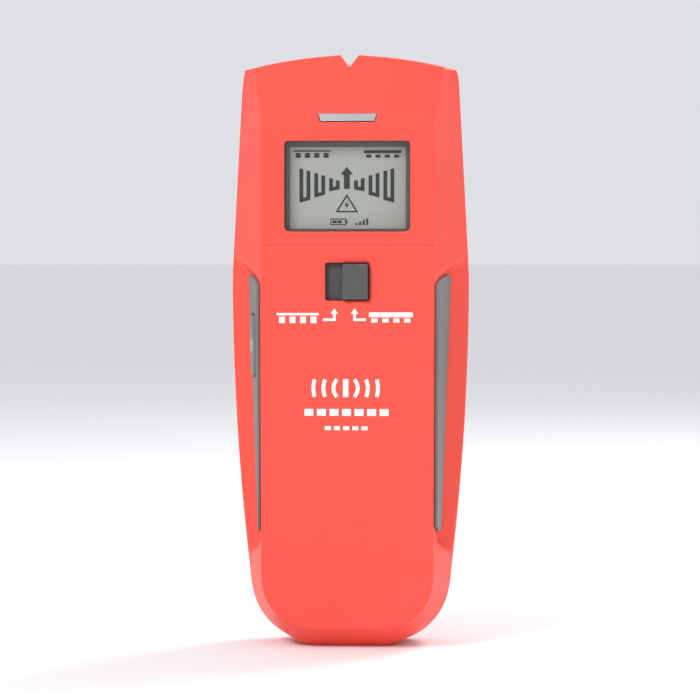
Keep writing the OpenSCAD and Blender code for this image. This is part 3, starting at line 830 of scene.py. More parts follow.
@dataclass
class RearCasing(Shell):
    """Red rear shell with the door opening, the label bed and four sunk screw seats."""

    seam: float = 10.9
    door_w: float = 14.0
    door_y: tuple = (7.0, 63.2)
    relief: tuple = (5.0, 5.0)
    bed: tuple = (20.0, 116.0, 144.0, 0.35)
    seats: tuple = ((20.5, 30.0), (24.0, 152.0))
    tongue_insets: tuple = (0.6, 1.3)
    tongue_h: float = 1.0
    seat_half: float = 3.1
    seat_rim: float = 0.3
    seat_r: float = 2.7
    seat_d: float = 4.8
    section: tuple = ((3.0, 0.0), (1.4, 1.6), (0.7, 5.75), (0.0, 9.9), (0.0, 10.9))
    foot_section: tuple = ((3.0, 0.0), (0.3, 0.85), (0.0, 5.75), (0.0, 9.9), (0.0, 10.9))

    def seat_x(self, y: float) -> float:
        """Middle of the column of screw seats at the distance y."""
        if y < 60:
            return self.seats[0][0]
        if y <= self.bed[2]:
            return self.bed[0] + self.seat_half
        return self.seats[1][0]

    def across(self, edge_x: float, y: float) -> list[float]:
        """Half widths of the flat's points on a line whose edge lies at edge_x."""
        if y < self.relief[1] - 0.01:
            k = edge_x / 17.4
            return [0, 2.5 * k, self.relief[0] * k, 9.5 * k, self.door_w * k, 15.2 * k, 16 * k, 16.7 * k]
        fixed = [0, 2.5, self.relief[0], 9.5, self.door_w]
        if y < 20:
            return fixed + [lerp(self.door_w, edge_x, t) for t in (0.3, 0.55, 0.8)]
        seat = self.seat_x(y)
        return fixed + [seat - self.seat_half, min(seat, edge_x - 3.3),
                        min(seat + self.seat_half, edge_x - 0.6)]

    def line(self, y: float, edge: Callable[[float], tuple], foot: float = 0.0, tip: float = 0.0) -> list:
        """Cross-section of the shell.

        Args:
            y: distance of its flat from the handle end.
            edge: outline point for an inset.
            foot: share of the upright foot in the section.
            tip: share of the curved top edge.
        """
        edge_x = edge(self.section[0][0])[0]
        made = []
        for i, x in enumerate([*self.across(edge_x, y), edge_x]):
            rise = tip * 4.18 * (1 - (x / edge_x) ** 2)
            if tip == 1 and i < 2:
                x, rise = ((0.0, 3.7), (0.45, 4.3))[i]
            made.append((x, y + rise, 0.0))
        for (inset, z), (foot_inset, foot_z) in zip(self.section[1:], self.foot_section[1:]):
            made.append((*edge(lerp(inset, foot_inset, foot)), lerp(z, foot_z, foot)))
        return made

    def lines(self) -> list:
        """Every cross-section, from the foot to the tip."""
        made = []
        for a in (0, 15, 29.43, 42.1, 56, 70, 83):
            corner = lambda inset, a=a: self.outline.corner(a, inset)
            made.append(self.line(corner(3.0)[1], corner, foot=1 - smooth(a / 60)))
        h = self.seat_half
        low, high = self.seats[0][1], self.seats[1][1]
        for y in (21.5, low - h, low, low + h, 40, 51, self.door_y[1], 66, 80, 95, 106, 112.5, self.bed[1],
                  125, 135, self.bed[2], high - h, high, high + h):
            made.append(self.line(y, lambda inset, y=y: (self.outline.half_w(y) - inset, y)))
        wide = self.outline.half_w(160.2)
        made.append(self.line(157.2, lambda inset: (wide - inset, 160.2 - inset), tip=0.35))
        made.append(self.line(158.6, lambda inset: (self.outline.tip_w - inset, 161.6 - inset), tip=1))
        return made

    def build(self) -> None:
        """Make the shell and the walls of its battery bay."""
        form = Form("rear_casing_shell")
        self.skin(form, self.lines(), 9, -1)
        w, (low, high) = self.door_w, self.door_y
        form.cut(lambda c: c.z < 0.5 and abs(c.x) < w and low - 0.1 < c.y < high)
        form.cut(lambda c: c.z < 0.5 and abs(c.x) < self.relief[0] and self.relief[1] - 0.1 < c.y < low)
        for x, y in self.seats:
            self.seat(form, x, y)
            self.seat(form, -x, y)
        self.label_bed(form)
        outer = self.thicken(form)
        inner = {v for v in form.bm.verts if v not in outer}
        shallow = lambda e: all(v.co.z < 0.5 and abs(v.co.x) < self.bed[0] + 0.1 and
                                self.bed[1] - 0.1 < v.co.y < self.bed[2] + 0.1 for v in e.verts)
        form.bevel(form.sharp(28, lambda e: not shallow(e) and not inner.issuperset(e.verts)),
                   self.edge * 0.8)
        form.bevel(form.sharp(50, shallow), 0.1, 1)
        form.finish(self.palette.shell, Body.CASE, ["rear_casing"], levels=2)
        self.bay()
        self.tongue()

    def tongue(self) -> None:
        """Make the tongue that crosses the joint line inside both walls."""
        form = Form("casing_joint_tongue")
        o = self.outline

        def trace(inset: float) -> list:
            """Half of the loop, drawn in by inset from the outline."""
            points = [(0, inset), (o.corner_x / 2, inset)]
            points += [o.corner(a, inset) for a in range(0, 91, 15)]
            points += [(o.half_w(y) - inset, y) for y in range(24, 157, 12)]
            points += [(x, o.top_y(x) - inset) for x in (o.tip_w - inset, 24, 16, 9, 5)]
            return points + [(0, o.length - o.notch_d - 0.5 - inset)]

        loops = [trace(inset) for inset in self.tongue_insets]
        form.grid(len(loops[0]), 2, lambda i, j: (*loops[j][i], self.seam - 0.4))
        bmesh.ops.mirror(form.bm, geom=form.bm.faces[:] + form.bm.edges[:] + form.bm.verts[:], axis="X",
                         merge_dist=0.001)
        form.weld()
        form.lift(form.bm.faces[:], (0, 0, self.tongue_h))
        form.finish(self.palette.shell, Body.CASE, ["rear_casing"])

    def seat(self, form: Form, x: float, y: float) -> None:
        """Sink one round screw seat into the patch of four faces round x, y."""
        reach = self.seat_half + 0.05
        patch = [f for f in form.bm.faces if all(abs(v.co.x - x) < reach and abs(v.co.y - y) < reach and
                                                 v.co.z < 0.1 for v in f.verts)]
        bmesh.ops.inset_region(form.bm, faces=patch, thickness=self.seat_rim, use_even_offset=True)
        half = self.seat_half - self.seat_rim
        bmesh.ops.subdivide_edges(form.bm, edges=list({e for f in patch for e in f.edges}), cuts=1,
                                  use_grid_fill=True)
        patch = [f for f in form.bm.faces
                 if all(abs(v.co.x - x) < half + 0.05 and abs(v.co.y - y) < half + 0.05
                        and v.co.z < 0.1 for v in f.verts)]
        for v in {v for f in patch for v in f.verts}:
            u, w = (v.co.x - x) / half, (v.co.y - y) / half
            v.co.x = x + self.seat_r * u * math.sqrt(1 - w * w / 2)
            v.co.y = y + self.seat_r * w * math.sqrt(1 - u * u / 2)
        form.sink(patch, (0, 0, self.seat_d))

    def label_bed(self, form: Form) -> None:
        """Sink the shallow bed for the label."""
        w, low, high, deep = self.bed
        bed = [f for f in form.bm.faces if f.calc_center_median().z < 0.1 and
               abs(f.calc_center_median().x) < w and low < f.calc_center_median().y < high]
        form.sink(bed, (0, 0, deep))

    def bay(self) -> None:
        """Make the walls round the battery."""
        form = Form("battery_bay_walls")
        xs, ys = (-15.4, -14.2, 14.2, 15.4), (8.0, 63.4, 64.6)
        form.grid(4, 3, lambda i, j: (xs[i], ys[j], 1.2))
        form.cut(lambda c: abs(c.x) < 14 and c.y < 63)
        form.lift(form.bm.faces[:], (0, 0, 7.8))
        sides = [f for f in form.bm.faces if f.normal.z ** 2 > 0.9 and f.calc_center_median().z > 8 and
                 abs(f.calc_center_median().x) > 14]
        form.sink(sides, (0, 0, 9))
        form.outward()
        form.bevel(form.sharp(60), 0.2, 2)
        form.finish(self.palette.shell, Body.CASE, ["rear_casing"])


# ------------------------------------------------------------------ battery door, battery and label


@dataclass
class BatteryDoor:
    """Hinged door with its thumb dish, grip ridges, arrow and pivot pins."""

    palette: Palette
    half: float = 13.7
    low: float = 7.3
    high: float = 62.3
    face_z: float = 0.12
    thick: float = 1.6
    pivot: tuple = (60.6, 1.6)
    pin_r: float = 0.88
    pin_half: float = 15.9
    dish: tuple = (14.2, 7.2, 5.95)
    ridges: tuple = (20.6, 2.1, 6, 8.0)
    step: float = 0.45
    corner: float = 1.2
    panel: tuple = (5.2, 34.0, 44.6, 0.6)

    def face(self, x: float, y: float) -> float:
        """Height of the outer face, with the dish and the grip grooves let in."""
        y0, r, drop = self.dish
        away = math.hypot(x, y - y0)
        hollow = math.sqrt(max(r * r - away * away, 0)) - drop
        z = self.face_z + max(hollow, 0)
        start, pitch, count, half = self.ridges
        for k in range(count):
            reach = abs(y - (start + k * pitch))
            ends = smooth((half - abs(x)) / 0.8)
            z += 0.6 * ends * max(0.0, 1 - (reach / 0.85) ** 2)
        w, low, high, deep = self.panel
        inside = min(w - abs(x), y - low, high - y)
        return z + deep * smooth(inside / 0.5 + 0.5)

    def rounded(self, x: float, y: float) -> tuple:
        """Plan position of a point, with the door's four corners drawn round."""
        r = self.corner
        u = (abs(x) - self.half + r) / r
        v = (max(self.low + r - y, y - self.high + r)) / r
        if u <= 0 or v <= 0:
            return x, y
        across = self.half - r + r * u * math.sqrt(1 - v * v / 2)
        along = r * (1 - v * math.sqrt(1 - u * u / 2))
        return (math.copysign(across, x),
                self.low + along if y < (self.low + self.high) / 2 else self.high - along)

    def build(self) -> None:
        """Make the door, its pins and its latch tongue."""
        form = Form("battery_door_plate")
        cols, rows = round(2 * self.half / self.step) + 1, round((self.high - self.low) / self.step) + 1

        def place(i: int, j: int) -> tuple:
            """Point of the outer face: i across, j along the door."""
            x = lerp(-self.half, self.half, i / (cols - 1))
            y = lerp(self.low, self.high, j / (rows - 1))
            return *self.rounded(x, y), self.face(x, y)

        form.grid(cols, rows, place)
        made = form.lift(form.bm.faces[:], (0, 0, self.thick))
        for v in made:
            v.co.z = self.face_z + self.thick + 0.15
        form.outward()
        form.bevel(form.sharp(60, lambda e: any(abs(v.co.x) > 12.6 or v.co.y < 8.4 or v.co.y > 60.7
                                                for v in e.verts)), 0.13, 2)
        form.finish(self.palette.shell, Body.DOOR, ["battery_door"])
        self.fittings()
        self.arrow()

    def fittings(self) -> None:
        """Make the pivot pin and the tongue."""
        form = Form("battery_door_pivot")
        r, h = self.pin_r, self.pin_half
        form.turned([(0, -h), (r - 0.2, -h), (r, -h + 0.2), (r, h - 0.2), (r - 0.2, h), (0, h)],
                    (0, *self.pivot), (1, 0, 0))
        form.block((-4, 5.6, 1.15), (4, 7.8, 1.85), 0.2)
        form.block((7.6, 14, 1.7), (8.6, 54, 2.35), 0.15)
        form.block((-8.6, 14, 1.7), (-7.6, 54, 2.35), 0.15)
        form.finish(self.palette.shell, Body.DOOR, ["battery_door"])

    def arrow(self) -> None:
        """Make the raised opening arrow above the ridges."""
        form = Form("battery_door_arrow")
        form.plate([(0, 35.0), (3.4, 38.8), (1.4, 38.8), (1.4, 43), (-1.4, 43), (-1.4, 38.8), (-3.4, 38.8)],
                   self.face_z - 0.04, 0.8)
        form.finish(self.palette.shell, Body.DOOR)


@dataclass
class Battery:
    """The 9 V block with its printed wrap, crimped end caps and polarity marks."""

    palette: Palette
    half: tuple = (13.25, 8.75)
    low: float = 8.5
    high: float = 54.5
    middle_z: float = 11.25
    band: float = 13.0

    def build(self) -> None:
        """Make the case, its band and its marks."""
        w, t = self.half
        for name, start, stop, material in (("battery_band", self.low + 0.5, self.low + self.band,
                                             self.palette.can_band),
                                            ("battery_wrap", self.low + self.band, self.high - 0.5,
                                             self.palette.can)):
            form = Form(name)
            made = form.block((-w, start, self.middle_z - t), (w, stop, self.middle_z + t))
            along = {e for v in made for e in v.link_edges if abs(e.verts[0].co.y - e.verts[1].co.y) > 1}
            form.bevel(along, 2.0, 6)
            form.finish(material, Body.CASE, ["battery_case"])
        form = Form("battery_end_caps")
        for start, stop in ((self.low, self.low + 0.6), (self.high - 0.6, self.high)):
            made = form.block((-w + 0.35, start, self.middle_z - t + 0.35),
                              (w - 0.35, stop, self.middle_z + t - 0.35))
            along = {e for v in made for e in v.link_edges if abs(e.verts[0].co.y - e.verts[1].co.y) > 0.3}
            form.bevel(along, 1.8, 5)
        form.finish(self.palette.tin, Body.CASE, ["battery_case"])
        self.marks()

    def marks(self) -> None:
        """Print the plus and minus signs on the face that looks out of the bay."""
        form = Form("battery_polarity_marks")
        z = self.middle_z - self.half[1] - 0.04
        form.slab(-8.2, 46.6, 4.6, 1.2, z, 0.08)
        form.slab(-6.5, 44.9, 1.2, 1.7, z, 0.08)
        form.slab(-6.5, 47.8, 1.2, 1.7, z, 0.08)
        form.slab(3.6, 46.6, 4.6, 1.2, z, 0.08)
        for k in range(4):
            form.slab(-9 + k * 4.7, 31, 3.4, 7.5 - k * 1.3, z, 0.08)
        form.finish(self.palette.print, Body.CASE)


@dataclass
class RearLabel:
    """Silver label with generic pictograms: battery polarity, a stud behind a wall, and rulings."""

    palette: Palette
    low: tuple = (-19.8, 116.2)
    high: tuple = (19.8, 143.8)
    face_z: float = 0.1

    def build(self) -> None:
        """Make the film and its print."""
        form = Form("rear_label_film")
        made = form.block((*self.low, self.face_z), (*self.high, 0.36))
        upright = {e for v in made for e in v.link_edges if abs(e.verts[0].co.z - e.verts[1].co.z) > 0.1}
        form.bevel(upright, 1.5, 5)
        form.finish(self.palette.label, Body.CASE, ["rear_label"])
        ink = Form("rear_label_print")
        z = self.face_z - 0.03
        ink.frame(-18.6, 117.4, 37.2, 25.2, 0.3, z, 0.05)
        # battery outline with its two poles and signs
        ink.frame(-16.5, 131.2, 12.0, 7.6, 0.4, z, 0.05)
        ink.slab(-14.8, 138.8, 2.2, 1.0, z, 0.05)
        ink.slab(-8.7, 138.8, 2.2, 1.0, z, 0.05)
        ink.slab(-15.0, 134.8, 2.6, 0.5, z, 0.05)
        ink.slab(-13.95, 133.75, 0.5, 1.05, z, 0.05)
        ink.slab(-13.95, 135.3, 0.5, 1.05, z, 0.05)
        ink.slab(-8.8, 134.8, 2.6, 0.5, z, 0.05)
        # three studs behind a wall with waves over the middle one
        ink.slab(1.5, 131.4, 15, 0.9, z, 0.05)
        for x in (2.6, 8.0, 13.4):
            ink.frame(x, 132.8, 2.2, 3.2, 0.35, z, 0.05)
        for r in (1.6, 2.7):
            ink.arc((9.1, 137.2), r, 0.4, 35, 145, z, 0.05)
        # rulings
        for k, w in enumerate((33, 33, 26, 30)):
            ink.slab(16.5 - w, 127.6 - k * 2.4, w, 0.35, z, 0.05)
        ink.finish(self.palette.label_ink, Body.CASE)


@dataclass
class Screws:
    """Cross-recess screws that hold the casings together."""

    palette: Palette
    seats: tuple = ((20.5, 30.0), (24.0, 152.0))
    head_z: float = 3.0
    head_h: float = 1.8
    head_r: float = 2.4
    shank_r: float = 1.2
    reach: float = 17.0

    def build(self) -> None:
        """Make the four screws as one piece."""
        form = Form("casing_screw_set")
        for x, y in self.seats:
            for s in (-1, 1):
                self.head(form, s * x, y, 20 + 30 * s + y)
        form.outward()
        form.bevel(form.sharp(50), 0.12, 2)
        form.finish(self.palette.steel, Body.CASE, ["casing_screws"], levels=1)

    def head(self, form: Form, x: float, y: float, turn: float) -> None:
        """Make a domed head with a cross recess and its shank, turned by some degrees."""
        inner = (-1.35, -0.33, 0.33, 1.35)
        spread = (-self.head_r, *inner, self.head_r)

        def place(i: int, j: int) -> tuple:
            """Point of the domed top: i across, j along."""
            p = Vector((spread[i], spread[j]))
            if i in (0, 5) or j in (0, 5):
                p *= self.head_r / p.length
            return p.x, p.y, 0.45 * (p.length / self.head_r) ** 2

        verts = form.grid(6, 6, place)
        faces = list({f for v in verts for f in v.link_faces})
        cross = []
        for f in faces:
            c = f.calc_center_median()
            if max(abs(c.x), abs(c.y)) < 1.4 and min(abs(c.x), abs(c.y)) < 0.33:
                cross.append(f)
        rim = [e for e in {e for f in faces for e in f.edges} if e.is_boundary]
        dug = form.sink(cross, (0, 0, 1.1))
        for v in dug:
            v.co.x *= 0.75
            v.co.y *= 0.75
        levels = ((1.0, self.head_h), (self.shank_r / self.head_r, self.head_h + 0.05),
                  (self.shank_r / self.head_r, self.reach - self.head_z - 1.5),
                  (0.1, self.reach - self.head_z))
        everything = {v for v in verts if v.is_valid} | set(dug)
        ring = rim
        scale = 1.0
        for factor, z in levels:
            made = bmesh.ops.extrude_edge_only(form.bm, edges=ring)["geom"]
            new = [g for g in made if isinstance(g, bmesh.types.BMVert)]
            for v in new:
                v.co.x *= factor / scale
                v.co.y *= factor / scale
                v.co.z = z
            scale = factor
            ring = [g for g in made if isinstance(g, bmesh.types.BMEdge)]
            everything |= set(new)
        bmesh.ops.contextual_create(form.bm, geom=ring)
        matrix = Matrix.Translation((x, y, self.head_z)) @ Matrix.Rotation(math.radians(turn), 4, "Z")
        bmesh.ops.transform(form.bm, matrix=matrix, verts=list(everything))


# ------------------------------------------------------------------ display and indicator


@dataclass
class Display:
    """Clear window, a grey sheet of painted shade round the display, the display glass and the segments
    shown on it.
    """

    palette: Palette
    half: tuple = (17.4, 12.4)
    middle_y: float = 129.0
    glass_z: float = 24.0
    window_z: tuple = (24.8, 26.0, 26.8)
    # widths left, right, bottom and top of the painted shade round the display; the wide top band is a
    # painted shadow under the recess's top edge
    border: tuple = (1.25, 1.25, 0.55, 1.55)
    leg: float = 1.08
    centre: float = -0.3

    def build(self) -> None:
        """Make every piece of the display."""
        w, h = self.half
        low, step, top = self.window_z
        form = Form("display_window_clear")
        made = form.block((-w, self.middle_y - h, low), (w, self.middle_y + h, top))
        form.bevel({e for v in made for e in v.link_edges
                    if abs(e.verts[0].co.z - e.verts[1].co.z) > 0.1}, 1, 4)
        form.bevel([e for e in form.sharp(60) if all(v.co.z > step for v in e.verts)], 0.15, 2)
        form.rim((-w - 2, self.middle_y - h - 2, w + 2, self.middle_y + h + 2),
                 (-w + 0.2, self.middle_y - h + 0.2, w - 0.2, self.middle_y + h - 0.2), low, step - low)
        form.finish(self.palette.window, Body.CASE, ["display_window"])
        # grey sheet just under the window: painted shade standing in for the recess's shaded walls and the
        # shadow under its top edge
        left, right, bottom, head = self.border
        form = Form("display_window_painted_shade")
        outer = (-w - 0.4, self.middle_y - h - 0.4, w + 0.4, self.middle_y + h + 0.4)
        inner = (-w + left, self.middle_y - h + bottom, w - right, self.middle_y + h - head)
        form.rim(outer, inner, low - 0.12, 0.08)
        form.finish(self.palette.mask, Body.CASE)
        form = Form("lcd_glass_plate")
        form.block((-w - 1.6, self.middle_y - h - 1.6, 21.8),
                   (w + 1.6, self.middle_y + h + 1.6, self.glass_z), 0.1, 1)
        form.finish(self.palette.glass, Body.CASE, ["lcd_glass"])
        self.segments()

    def segments(self) -> None:
        """Lay the dark segments on the glass."""
        ink = Form("lcd_segments")
        z, deep = self.glass_z - 0.01, 0.05
        m = self.centre
        bars = ((13.25, 133.95, 124.4, 10.2, 133.2, 125.2), (9.1, 132.7, 125.8, 6.05, 131.9, 126.6),
                (4.95, 131.3, 127.5, 2.0, 130.5, 128.1))
        for s in (-1, 1):
            for x0, top0, low0, x1, top1, low1 in bars:
                t = self.leg
                slope = (low1 - low0) / (x0 - x1)
                points = [(x0, top0), (x0, low0), (x1, low1), (x1, top1), (x1 + t, top1 + 0.2),
                          (x1 + t, low1 + t - slope * t), (x0 - t, low0 + t + slope * t),
                          (x0 - t, top0 - 0.2)]
                ink.plate([(m + s * x, y) for x, y in points], z, deep)
        ink.plate([(m, 134.4), (m - 1.75, 132.2), (m - 0.82, 132.2), (m - 0.82, 128.2), (m + 0.82, 128.2),
                   (m + 0.82, 132.2), (m + 1.75, 132.2)], z, deep)
        self.triangle(ink, m, z, deep)
        self.wall_sign(ink, m - 14.9, 136.9, 10.4, 0.4, z, deep)
        self.wall_sign(ink, m + 4.8, 136.9, 10.4, 0.85, z, deep)
        # battery gauge and level bars along the lower edge
        ink.frame(m - 4.6, 118.1, 4.4, 1.9, 0.3, z, deep)
        ink.slab(m - 0.2, 118.65, 0.4, 0.8, z, deep)
        ink.slab(m - 4.0, 118.65, 1.2, 0.8, z, deep)
        ink.slab(m - 2.6, 118.65, 1.2, 0.8, z, deep)
        for k in range(4):
            ink.slab(m + 2.4 + k * 1.0, 118.1, 0.6, 0.6 + k * 0.43, z, deep)
        ink.finish(self.palette.ink, Body.CASE, flat=True)

    def triangle(self, ink: Form, m: float, z: float, deep: float) -> None:
        """Draw the outlined triangle with a bolt-shaped mark in it."""
        corners = [Vector((m, 126.8)), Vector((m + 3.2, 121.7)), Vector((m - 3.2, 121.7))]
        middle = sum(corners, Vector((0, 0))) / 3

        def place(i: int, j: int) -> tuple:
            """Corner i of the outer or, for j of 1, the inner triangle."""
            return *(middle + (corners[i % 3] - middle) * (1, 0.74)[j]), z

        made = ink.grid(4, 2, place)
        bmesh.ops.remove_doubles(ink.bm, verts=made, dist=0.001)
        ink.lift(list({f for v in made if v.is_valid for f in v.link_faces}), (0, 0, deep))
        ink.plate([(m + 0.35, 125.0), (m - 0.75, 123.5), (m - 0.1, 123.5), (m - 0.35, 122.5),
                   (m + 0.7, 123.9), (m + 0.1, 123.9)], z, deep)

    @staticmethod
    def wall_sign(ink: Form, x: float, y: float, width: float, skin: float, z: float, deep: float) -> None:
        """Draw a wall with studs behind it.

        Args:
            ink: the form to add to.
            x: left end.
            y: lower edge.
            width: length of the wall.
            skin: thickness of the wall's facing.
            z: height of the print's base.
            deep: thickness of the print.
        """
        ink.slab(x, y + 2.1 - skin, width, skin, z, deep)
        for k in range(4):
            ink.slab(x + width * (0.055 + 0.25 * k), y, width * 0.14, 1.75 - skin, z, deep)


@dataclass
class Indicator:
    """Frosted lens flush in the nose."""

    palette: Palette
    nose_y: float = 145.7
    depth: float = 28.0
    slope: float = 0.588
    low_y: float = 147.0
    high_y: float = 149.2
    half: tuple = (7.42, 8.25)

    def build(self) -> None:
        """Make the lens."""
        form = Form("indicator_lens_frosted")
        (a, b), lo, hi = self.half, self.low_y, self.high_y
        form.plate([(-a, lo), (a, lo), (b, hi), (-b, hi)], 22.0, 5)
        for v in form.bm.verts:
            if v.co.z > 25:
                v.co.z = self.depth - (v.co.y - self.nose_y) * self.slope - 0.12
        form.outward()
        form.bevel([e for e in form.bm.edges if all(v.co.z > 23 for v in e.verts)], 0.22, 3)
        form.block((-9.5, lo - 1.3, 21.9), (9.5, hi + 0.7, 22.5), 0.1)
        form.finish(self.palette.lens, Body.CASE, ["indicator_lens"])


# ------------------------------------------------------------------ controls


@dataclass
class ModeKnob:
    """Slide knob with a finger hollow, and the cover plate that travels with it."""

    palette: Palette
    left: float = -1.25
    width: float = 7.1
    low: float = 97.4
    high: float = 107.4
    top: float = 29.05
    hollow: float = 0.7

    def build(self) -> None:
        """Make the knob."""
        form = Form("mode_knob_slider")
        shares = (0, 0.07, 0.16, 0.3, 0.5, 0.7, 0.84, 0.93, 1)
        dips = (0, 0, 0.12, 0.75, 1, 0.75, 0.12, 0, 0)
        rows = 9

        def place(i: int, j: int) -> tuple:
            """Point of the finger face: i across, j along."""
            return (self.left + self.width * shares[i], lerp(self.low, self.high, j / (rows - 1)),
                    self.top - self.hollow * dips[i])

        form.grid(len(shares), rows, place)
        for v in form.lift(form.bm.faces[:], (0, 0, -3)):
            v.co.z = 25.5
        form.outward()
        form.bevel(form.sharp(60), 0.3, 3)
        form.finish(self.palette.knob, Body.KNOB, ["mode_knob"])
        plate = Form("mode_knob_cover_plate")
        plate.block((-6.7, 95.6, 24.3), (11.3, 109.2, 25.6), 0.15)
        plate.finish(self.palette.cover, Body.KNOB, ["mode_knob"])


@dataclass
class Grip:
    """Rubber strip lying on one scoop wall; the left one is pierced for the power button."""

    palette: Palette
    casing: FrontCasing
    side: Side
    thick: float = 0.95
    upper: float = 27.0
    lower: float = 16.15

    def ends(self, z: float) -> tuple:
        """Lower and upper end of the strip at the height z."""
        t = (self.upper - z) / (self.upper - self.lower)
        low = lerp(34.2, 31.8, smooth(t * 1.6)) + 0.9 * smooth((t - 0.6) / 0.4)
        high = 101.6 + 2.6 * math.sin(math.pi * min(t * 0.62 + 0.02, 0.66))
        return low, high

    def build(self) -> None:
        """Make the strip."""
        hole = self.casing.button
        heights = [self.upper, 26.2, hole[3], 21.5, hole[2], 16.9, self.lower]
        along = [32, 32.6, 37, 46, 56, 66, hole[0], 80, 84.5, 89, hole[1], 98, 102.3, 103]
        s = self.side.value

        def place(i: int, j: int) -> tuple:
            """Point of the strip: i down the wall, j along it."""
            z, y = heights[i], along[j]
            low, high = self.ends(z)
            if j == 0:
                y = low
            elif j == 1:
                y = low + 0.8
            elif j == len(along) - 2:
                y = high - 0.8
            elif j == len(along) - 1:
                y = high
            return s * (self.casing.scoop_x(y, z) + 0.03), y, z

        form = Form(f"{self.side.name.lower()}_grip_rubber")
        form.grid(len(heights), len(along), place)
        if self.side is Side.LEFT:
            form.cut(lambda c: hole[0] < c.y < hole[1] and hole[2] < c.z < hole[3])
        form.lift(form.bm.faces[:], (s * self.thick, 0, 0))
        form.outward()
        corners = [e for e in form.bm.edges if abs(e.verts[0].co.x - e.verts[1].co.x) > self.thick * 0.9 and
                   all(min(abs(v.co.y - y) for y in hole[:2]) < 0.05 and
                       min(abs(v.co.z - z) for z in hole[2:]) < 0.05 for v in e.verts)]
        if self.side is Side.LEFT:
            form.bevel(corners, 1.7, 4)
        form.bevel(form.sharp(50), 0.3, 2)
        form.finish(self.palette.grip, Body.CASE, [f"{self.side.name.lower()}_grip"], levels=1)


@dataclass
class PowerButton:
    """Rubber push button standing a little proud of the left grip, with the usual on mark."""

    palette: Palette
    casing: FrontCasing
    middle_y: float = 84.5
    middle_z: float = 21.5
    size: tuple = (17.0, 6.0)
    proud: float = 1.6

    def face(self, y: float, z: float) -> float:
        """Position across of the button's face."""
        return -(self.casing.scoop_x(y, z) + self.proud)

    def build(self) -> None:
        """Make the button and its mark."""
        form = Form("power_button_cap")
        ly, lz = (v / 2 for v in self.size)
        made = form.block((-30, self.middle_y - ly, self.middle_z - lz),
                          (-20.6, self.middle_y + ly, self.middle_z + lz))
        for v in made:
            if v.co.x < -25:
                v.co.x = self.face(v.co.y, v.co.z)
        form.bevel([e for e in form.bm.edges if abs(e.verts[0].co.x - e.verts[1].co.x) > 3], 1.9, 5)
        form.bevel([e for e in form.sharp(40) if all(v.co.x < -24 for v in e.verts)], 0.5, 3)
        form.block((-21.4, self.middle_y - ly - 1, 17.6), (-20.5, self.middle_y + ly + 1, 25.2), 0.2)
        form.finish(self.palette.button, Body.BUTTON, ["power_button"])
        self.mark()

    def mark(self) -> None:
        """Print the broken ring and stroke on the face."""
        ink = Form("power_mark")
        ink.arc((0, 0), 1.55, 0.36, 125, 415, 0, 0.08)
        ink.slab(-0.18, 0.5, 0.36, 1.7, 0, 0.08)
        for v in ink.bm.verts:
            y, z = self.middle_y + v.co.y, self.middle_z + v.co.x
            v.co = Vector((self.face(y, z) + 0.04 - v.co.z, y, z))
        ink.finish(self.palette.print, Body.BUTTON, flat=True)


@dataclass
class PanelPrint:
    """White prints on the front panel: mode arrows, wall signs and a plain sensing emblem."""

    palette: Palette
    base: float = 27.98
    deep: float = 0.05

    def build(self) -> None:
        """Make the prints."""
        ink = Form("panel_print")
        z, d = self.base, self.deep
        for s, x, reach in ((-1, -3.55, 3.2), (1, 2.1, 3.1)):
            ink.plate([(x + s * a, y) for a, y in (
                (0, 95.0), (-1.05, 93.5), (-0.38, 93.5), (-0.38, 91.5), (reach, 91.5), (reach, 92.2),
                (0.38, 92.2), (0.38, 93.5), (1.05, 93.5))], z, d)
        self.wall_sign(ink, -19.6, 90.9, 11.7, 0.65)
        self.wall_sign(ink, 6.1, 91.1, 12.2, 1.35)
        # emblem: a post with waves spreading to both sides
        m = -0.4
        ink.slab(m - 0.75, 70.3, 1.5, 5.0, z, d)
        for k, r in enumerate((3.4, 6.2, 9.0)):
            reach = math.degrees(math.asin(min(2.4 / r, 0.8)))
            for turn in (0, 180):
                ink.arc((m, 72.8), r, 1.05, turn - reach, turn + reach, z, d)
        # plain rulings below the emblem
        for k in range(7):
            ink.slab(-11.9 + k * 3.5, 65.1, 2.5, 1.9, z, d)
        for k in range(5):
            ink.slab(-6.2 + k * 2.55, 61.1, 1.7, 1.1, z, d)
        ink.finish(self.palette.print, Body.CASE, flat=True)

    def wall_sign(self, ink: Form, x: float, y: float, width: float, skin: float) -> None:
        """Print a wall whose facing is skin thick, with studs behind it."""
        ink.slab(x, y + 2.8 - skin, width, skin, self.base, self.deep)
        for k in range(4):
            ink.slab(x + width * (0.055 + 0.25 * k), y, width * 0.14, 2.45 - skin, self.base, self.deep)


# ------------------------------------------------------------------ hidden works


@dataclass
class Works:
    """The pieces inside, which keep their CAD shapes and get their finishes here."""

    palette: Palette

    def dress(self) -> None:
        """Give every CAD node that stays its finish."""
        p = self.palette
        finishes = {
            "display_gasket": p.foam, "lcd_frame": p.white, "zebra_strips": p.zebra, "indicator_leds": p.led,
            "mode_switch_body": p.tin, "mode_switch_lever": p.black, "power_switch_body": p.black,
            "power_switch_plunger": p.plunger, "main_board": p.green, "microcontroller": p.epoxy,
            "amplifier_chips": p.epoxy, "buzzer": p.black, "sensor_board": p.blue, "sensor_pads": p.copper,
            "board_header": p.black, "battery_terminals": p.nickel, "clip_contacts": p.nickel,
            "battery_clip": p.vinyl, "positive_lead": p.red_wire, "negative_lead": p.black_wire,
            "battery_foam": p.foam, "board_screws": p.steel}
        for name, material in finishes.items():
            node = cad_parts[name]
            for place in node.material_slots:
                place.material = material
            log.info("dressed %s", name)


# ------------------------------------------------------------------ stage


